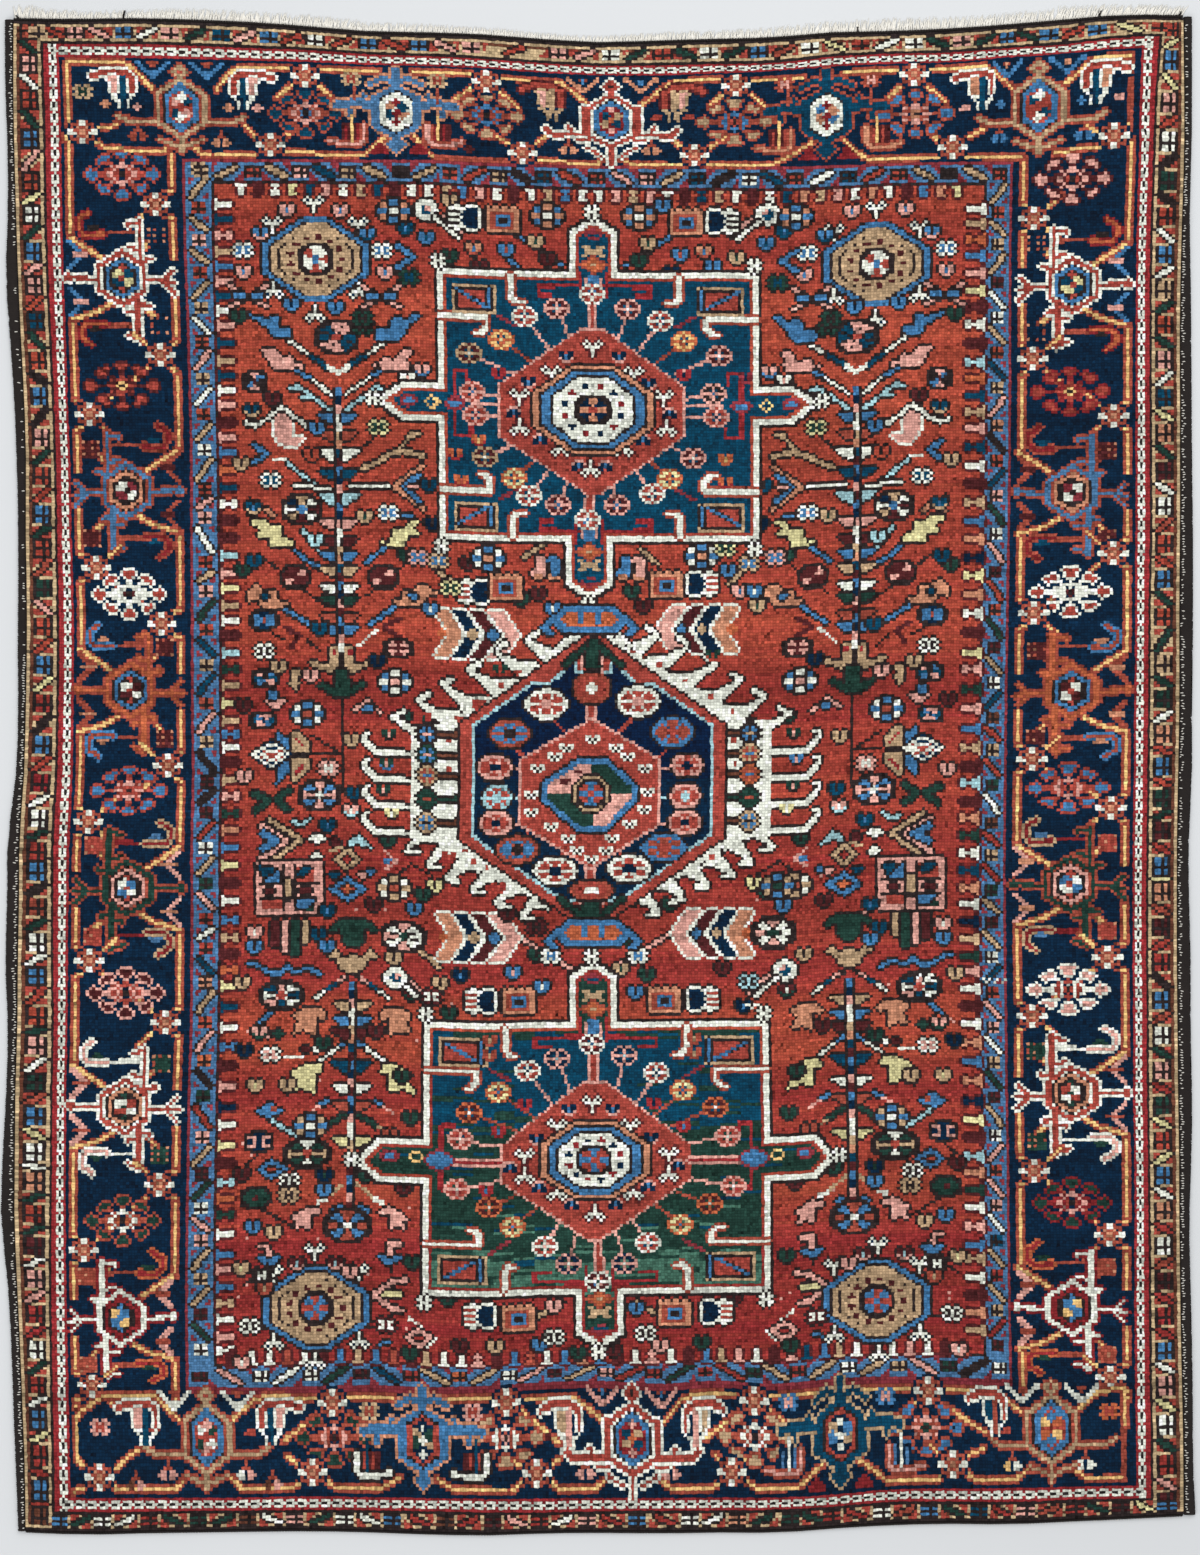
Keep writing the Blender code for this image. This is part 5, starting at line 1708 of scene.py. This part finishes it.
def bottom_fuzz(material):
    """Worn warp ends that show past the bottom cord."""
    chance = np.random.default_rng(14)
    places, low, high = sections("end_cord_bottom", 0)
    runs = []
    for _ in range(260):
        x = chance.uniform(places[0] + 0.003, places[-1] - 0.003)
        root = np.interp(x, places, low) + 0.6 * MM
        reach, lean = chance.uniform(1.2, 3.0) * MM, chance.normal(0, 0.8) * MM
        runs.append((np.array([(x, root, 1.5 * MM), (x + lean * 0.5, root - reach * 0.6, 1.3 * MM),
                               (x + lean, root - reach, 0.8 * MM)]), (1.0, 0.8, 0.4)))
    return yarns("bottom_fuzz", runs, 0.7 * MM, material, 0)


def loose_ends(material):
    """Loose ends of the dark wool at the top end."""
    chance = np.random.default_rng(15)
    places, low, high = sections("end_cord_top", 0)
    runs = []
    for share, reach, lean in LOOSE_ENDS:
        x = places[0] + share * (places[-1] - places[0])
        y = np.interp(x, places, high) - 1.5 * MM
        for _ in range(4):
            off = chance.normal(0, 0.7, 2) * MM
            bend, tip = x + off[0] + lean * PIXEL * 0.4, x + lean * PIXEL + off[1] * 1.5
            line = [(x + off[0], y, 3.5 * MM), (bend, y + reach * PIXEL * 0.5, 4.6 * MM),
                    (tip, y + reach * PIXEL, 3.6 * MM)]
            runs.append((np.array(line), (1.0, 0.9, 0.5)))
    return yarns("loose_ends", runs, 1.3 * MM, material, 0)


CAMERA_HEIGHT = 4.2
CAMERA_SHIFT = (2.5 * MM, -10 * MM)     # from the rug's middle to the middle of the photograph
SENSOR = 24                      # its height, in millimetres


def camera():
    lens = bpy.data.cameras.new("photo_camera")
    lens.sensor_fit = "VERTICAL"
    lens.sensor_height = SENSOR
    lens.lens = SENSOR * CAMERA_HEIGHT / (PHOTO_SIZE[1] * PIXEL)
    view = bpy.data.objects.new("photo_camera", lens)
    bpy.context.collection.objects.link(view)
    view.location = (*CAMERA_SHIFT, CAMERA_HEIGHT)
    bpy.context.scene.camera = view


paint_chart()
x, y, colours, strips = pile_and_back()
back = weave_back(x, y, colours)
dark_wool = wool_finish("dark_overcast_wool", (22, 20, 21), (56, 49, 46))
cotton = wool_finish("warp_cotton", (244, 240, 230), (254, 252, 246), 500.0)
thread = wool_finish("pale_thread", (206, 202, 192), (240, 238, 230), 900.0)
trims = [overcast_side("left", dark_wool), overcast_side("right", dark_wool), side_stitches("left", thread),
         side_stitches("right", thread), twisted_end("top", dark_wool), twisted_end("bottom", dark_wool),
         top_fringe(cotton), bottom_fuzz(cotton), loose_ends(dark_wool)]
strips + trims
camera()

FLOOR_HALF, FLOOR_GREY = 6, (0.72, 0.74, 0.76, 1)
SKY_STRENGTH = 0.55
LIGHTS = (("soft_light", (0.6, 1.2, 3.2), 3.0, 60),     # place, size and power
          ("fill_light", (-1.6, -1.4, 2.8), 2.5, 25))

floor_shape = bmesh.new()
bmesh.ops.create_grid(floor_shape, x_segments=1, y_segments=1, size=FLOOR_HALF)
floor_mesh = bpy.data.meshes.new("floor")
floor_shape.to_mesh(floor_mesh)
floor = bpy.data.objects.new("floor", floor_mesh)
bpy.context.collection.objects.link(floor)
floor_finish = Finish("pale_floor")
floor_mesh.materials.append(floor_finish.looks(Base_Color=FLOOR_GREY, Roughness=0.7))

world = bpy.data.worlds.new("studio")
world.use_nodes = True
world.node_tree.nodes["Background"].inputs[0].default_value = (1, 1, 1, 1)
world.node_tree.nodes["Background"].inputs[1].default_value = SKY_STRENGTH
bpy.context.scene.world = world
for name, place, size, power in LIGHTS:
    light = bpy.data.lights.new(name, "AREA")
    light.energy, light.size = power, size
    lamp = bpy.data.objects.new(name, light)
    lamp.location = place
    lamp.rotation_euler = (-Vector(place)).to_track_quat("-Z", "Y").to_euler()
    bpy.context.collection.objects.link(lamp)

bpy.context.scene.view_settings.view_transform = "Standard"
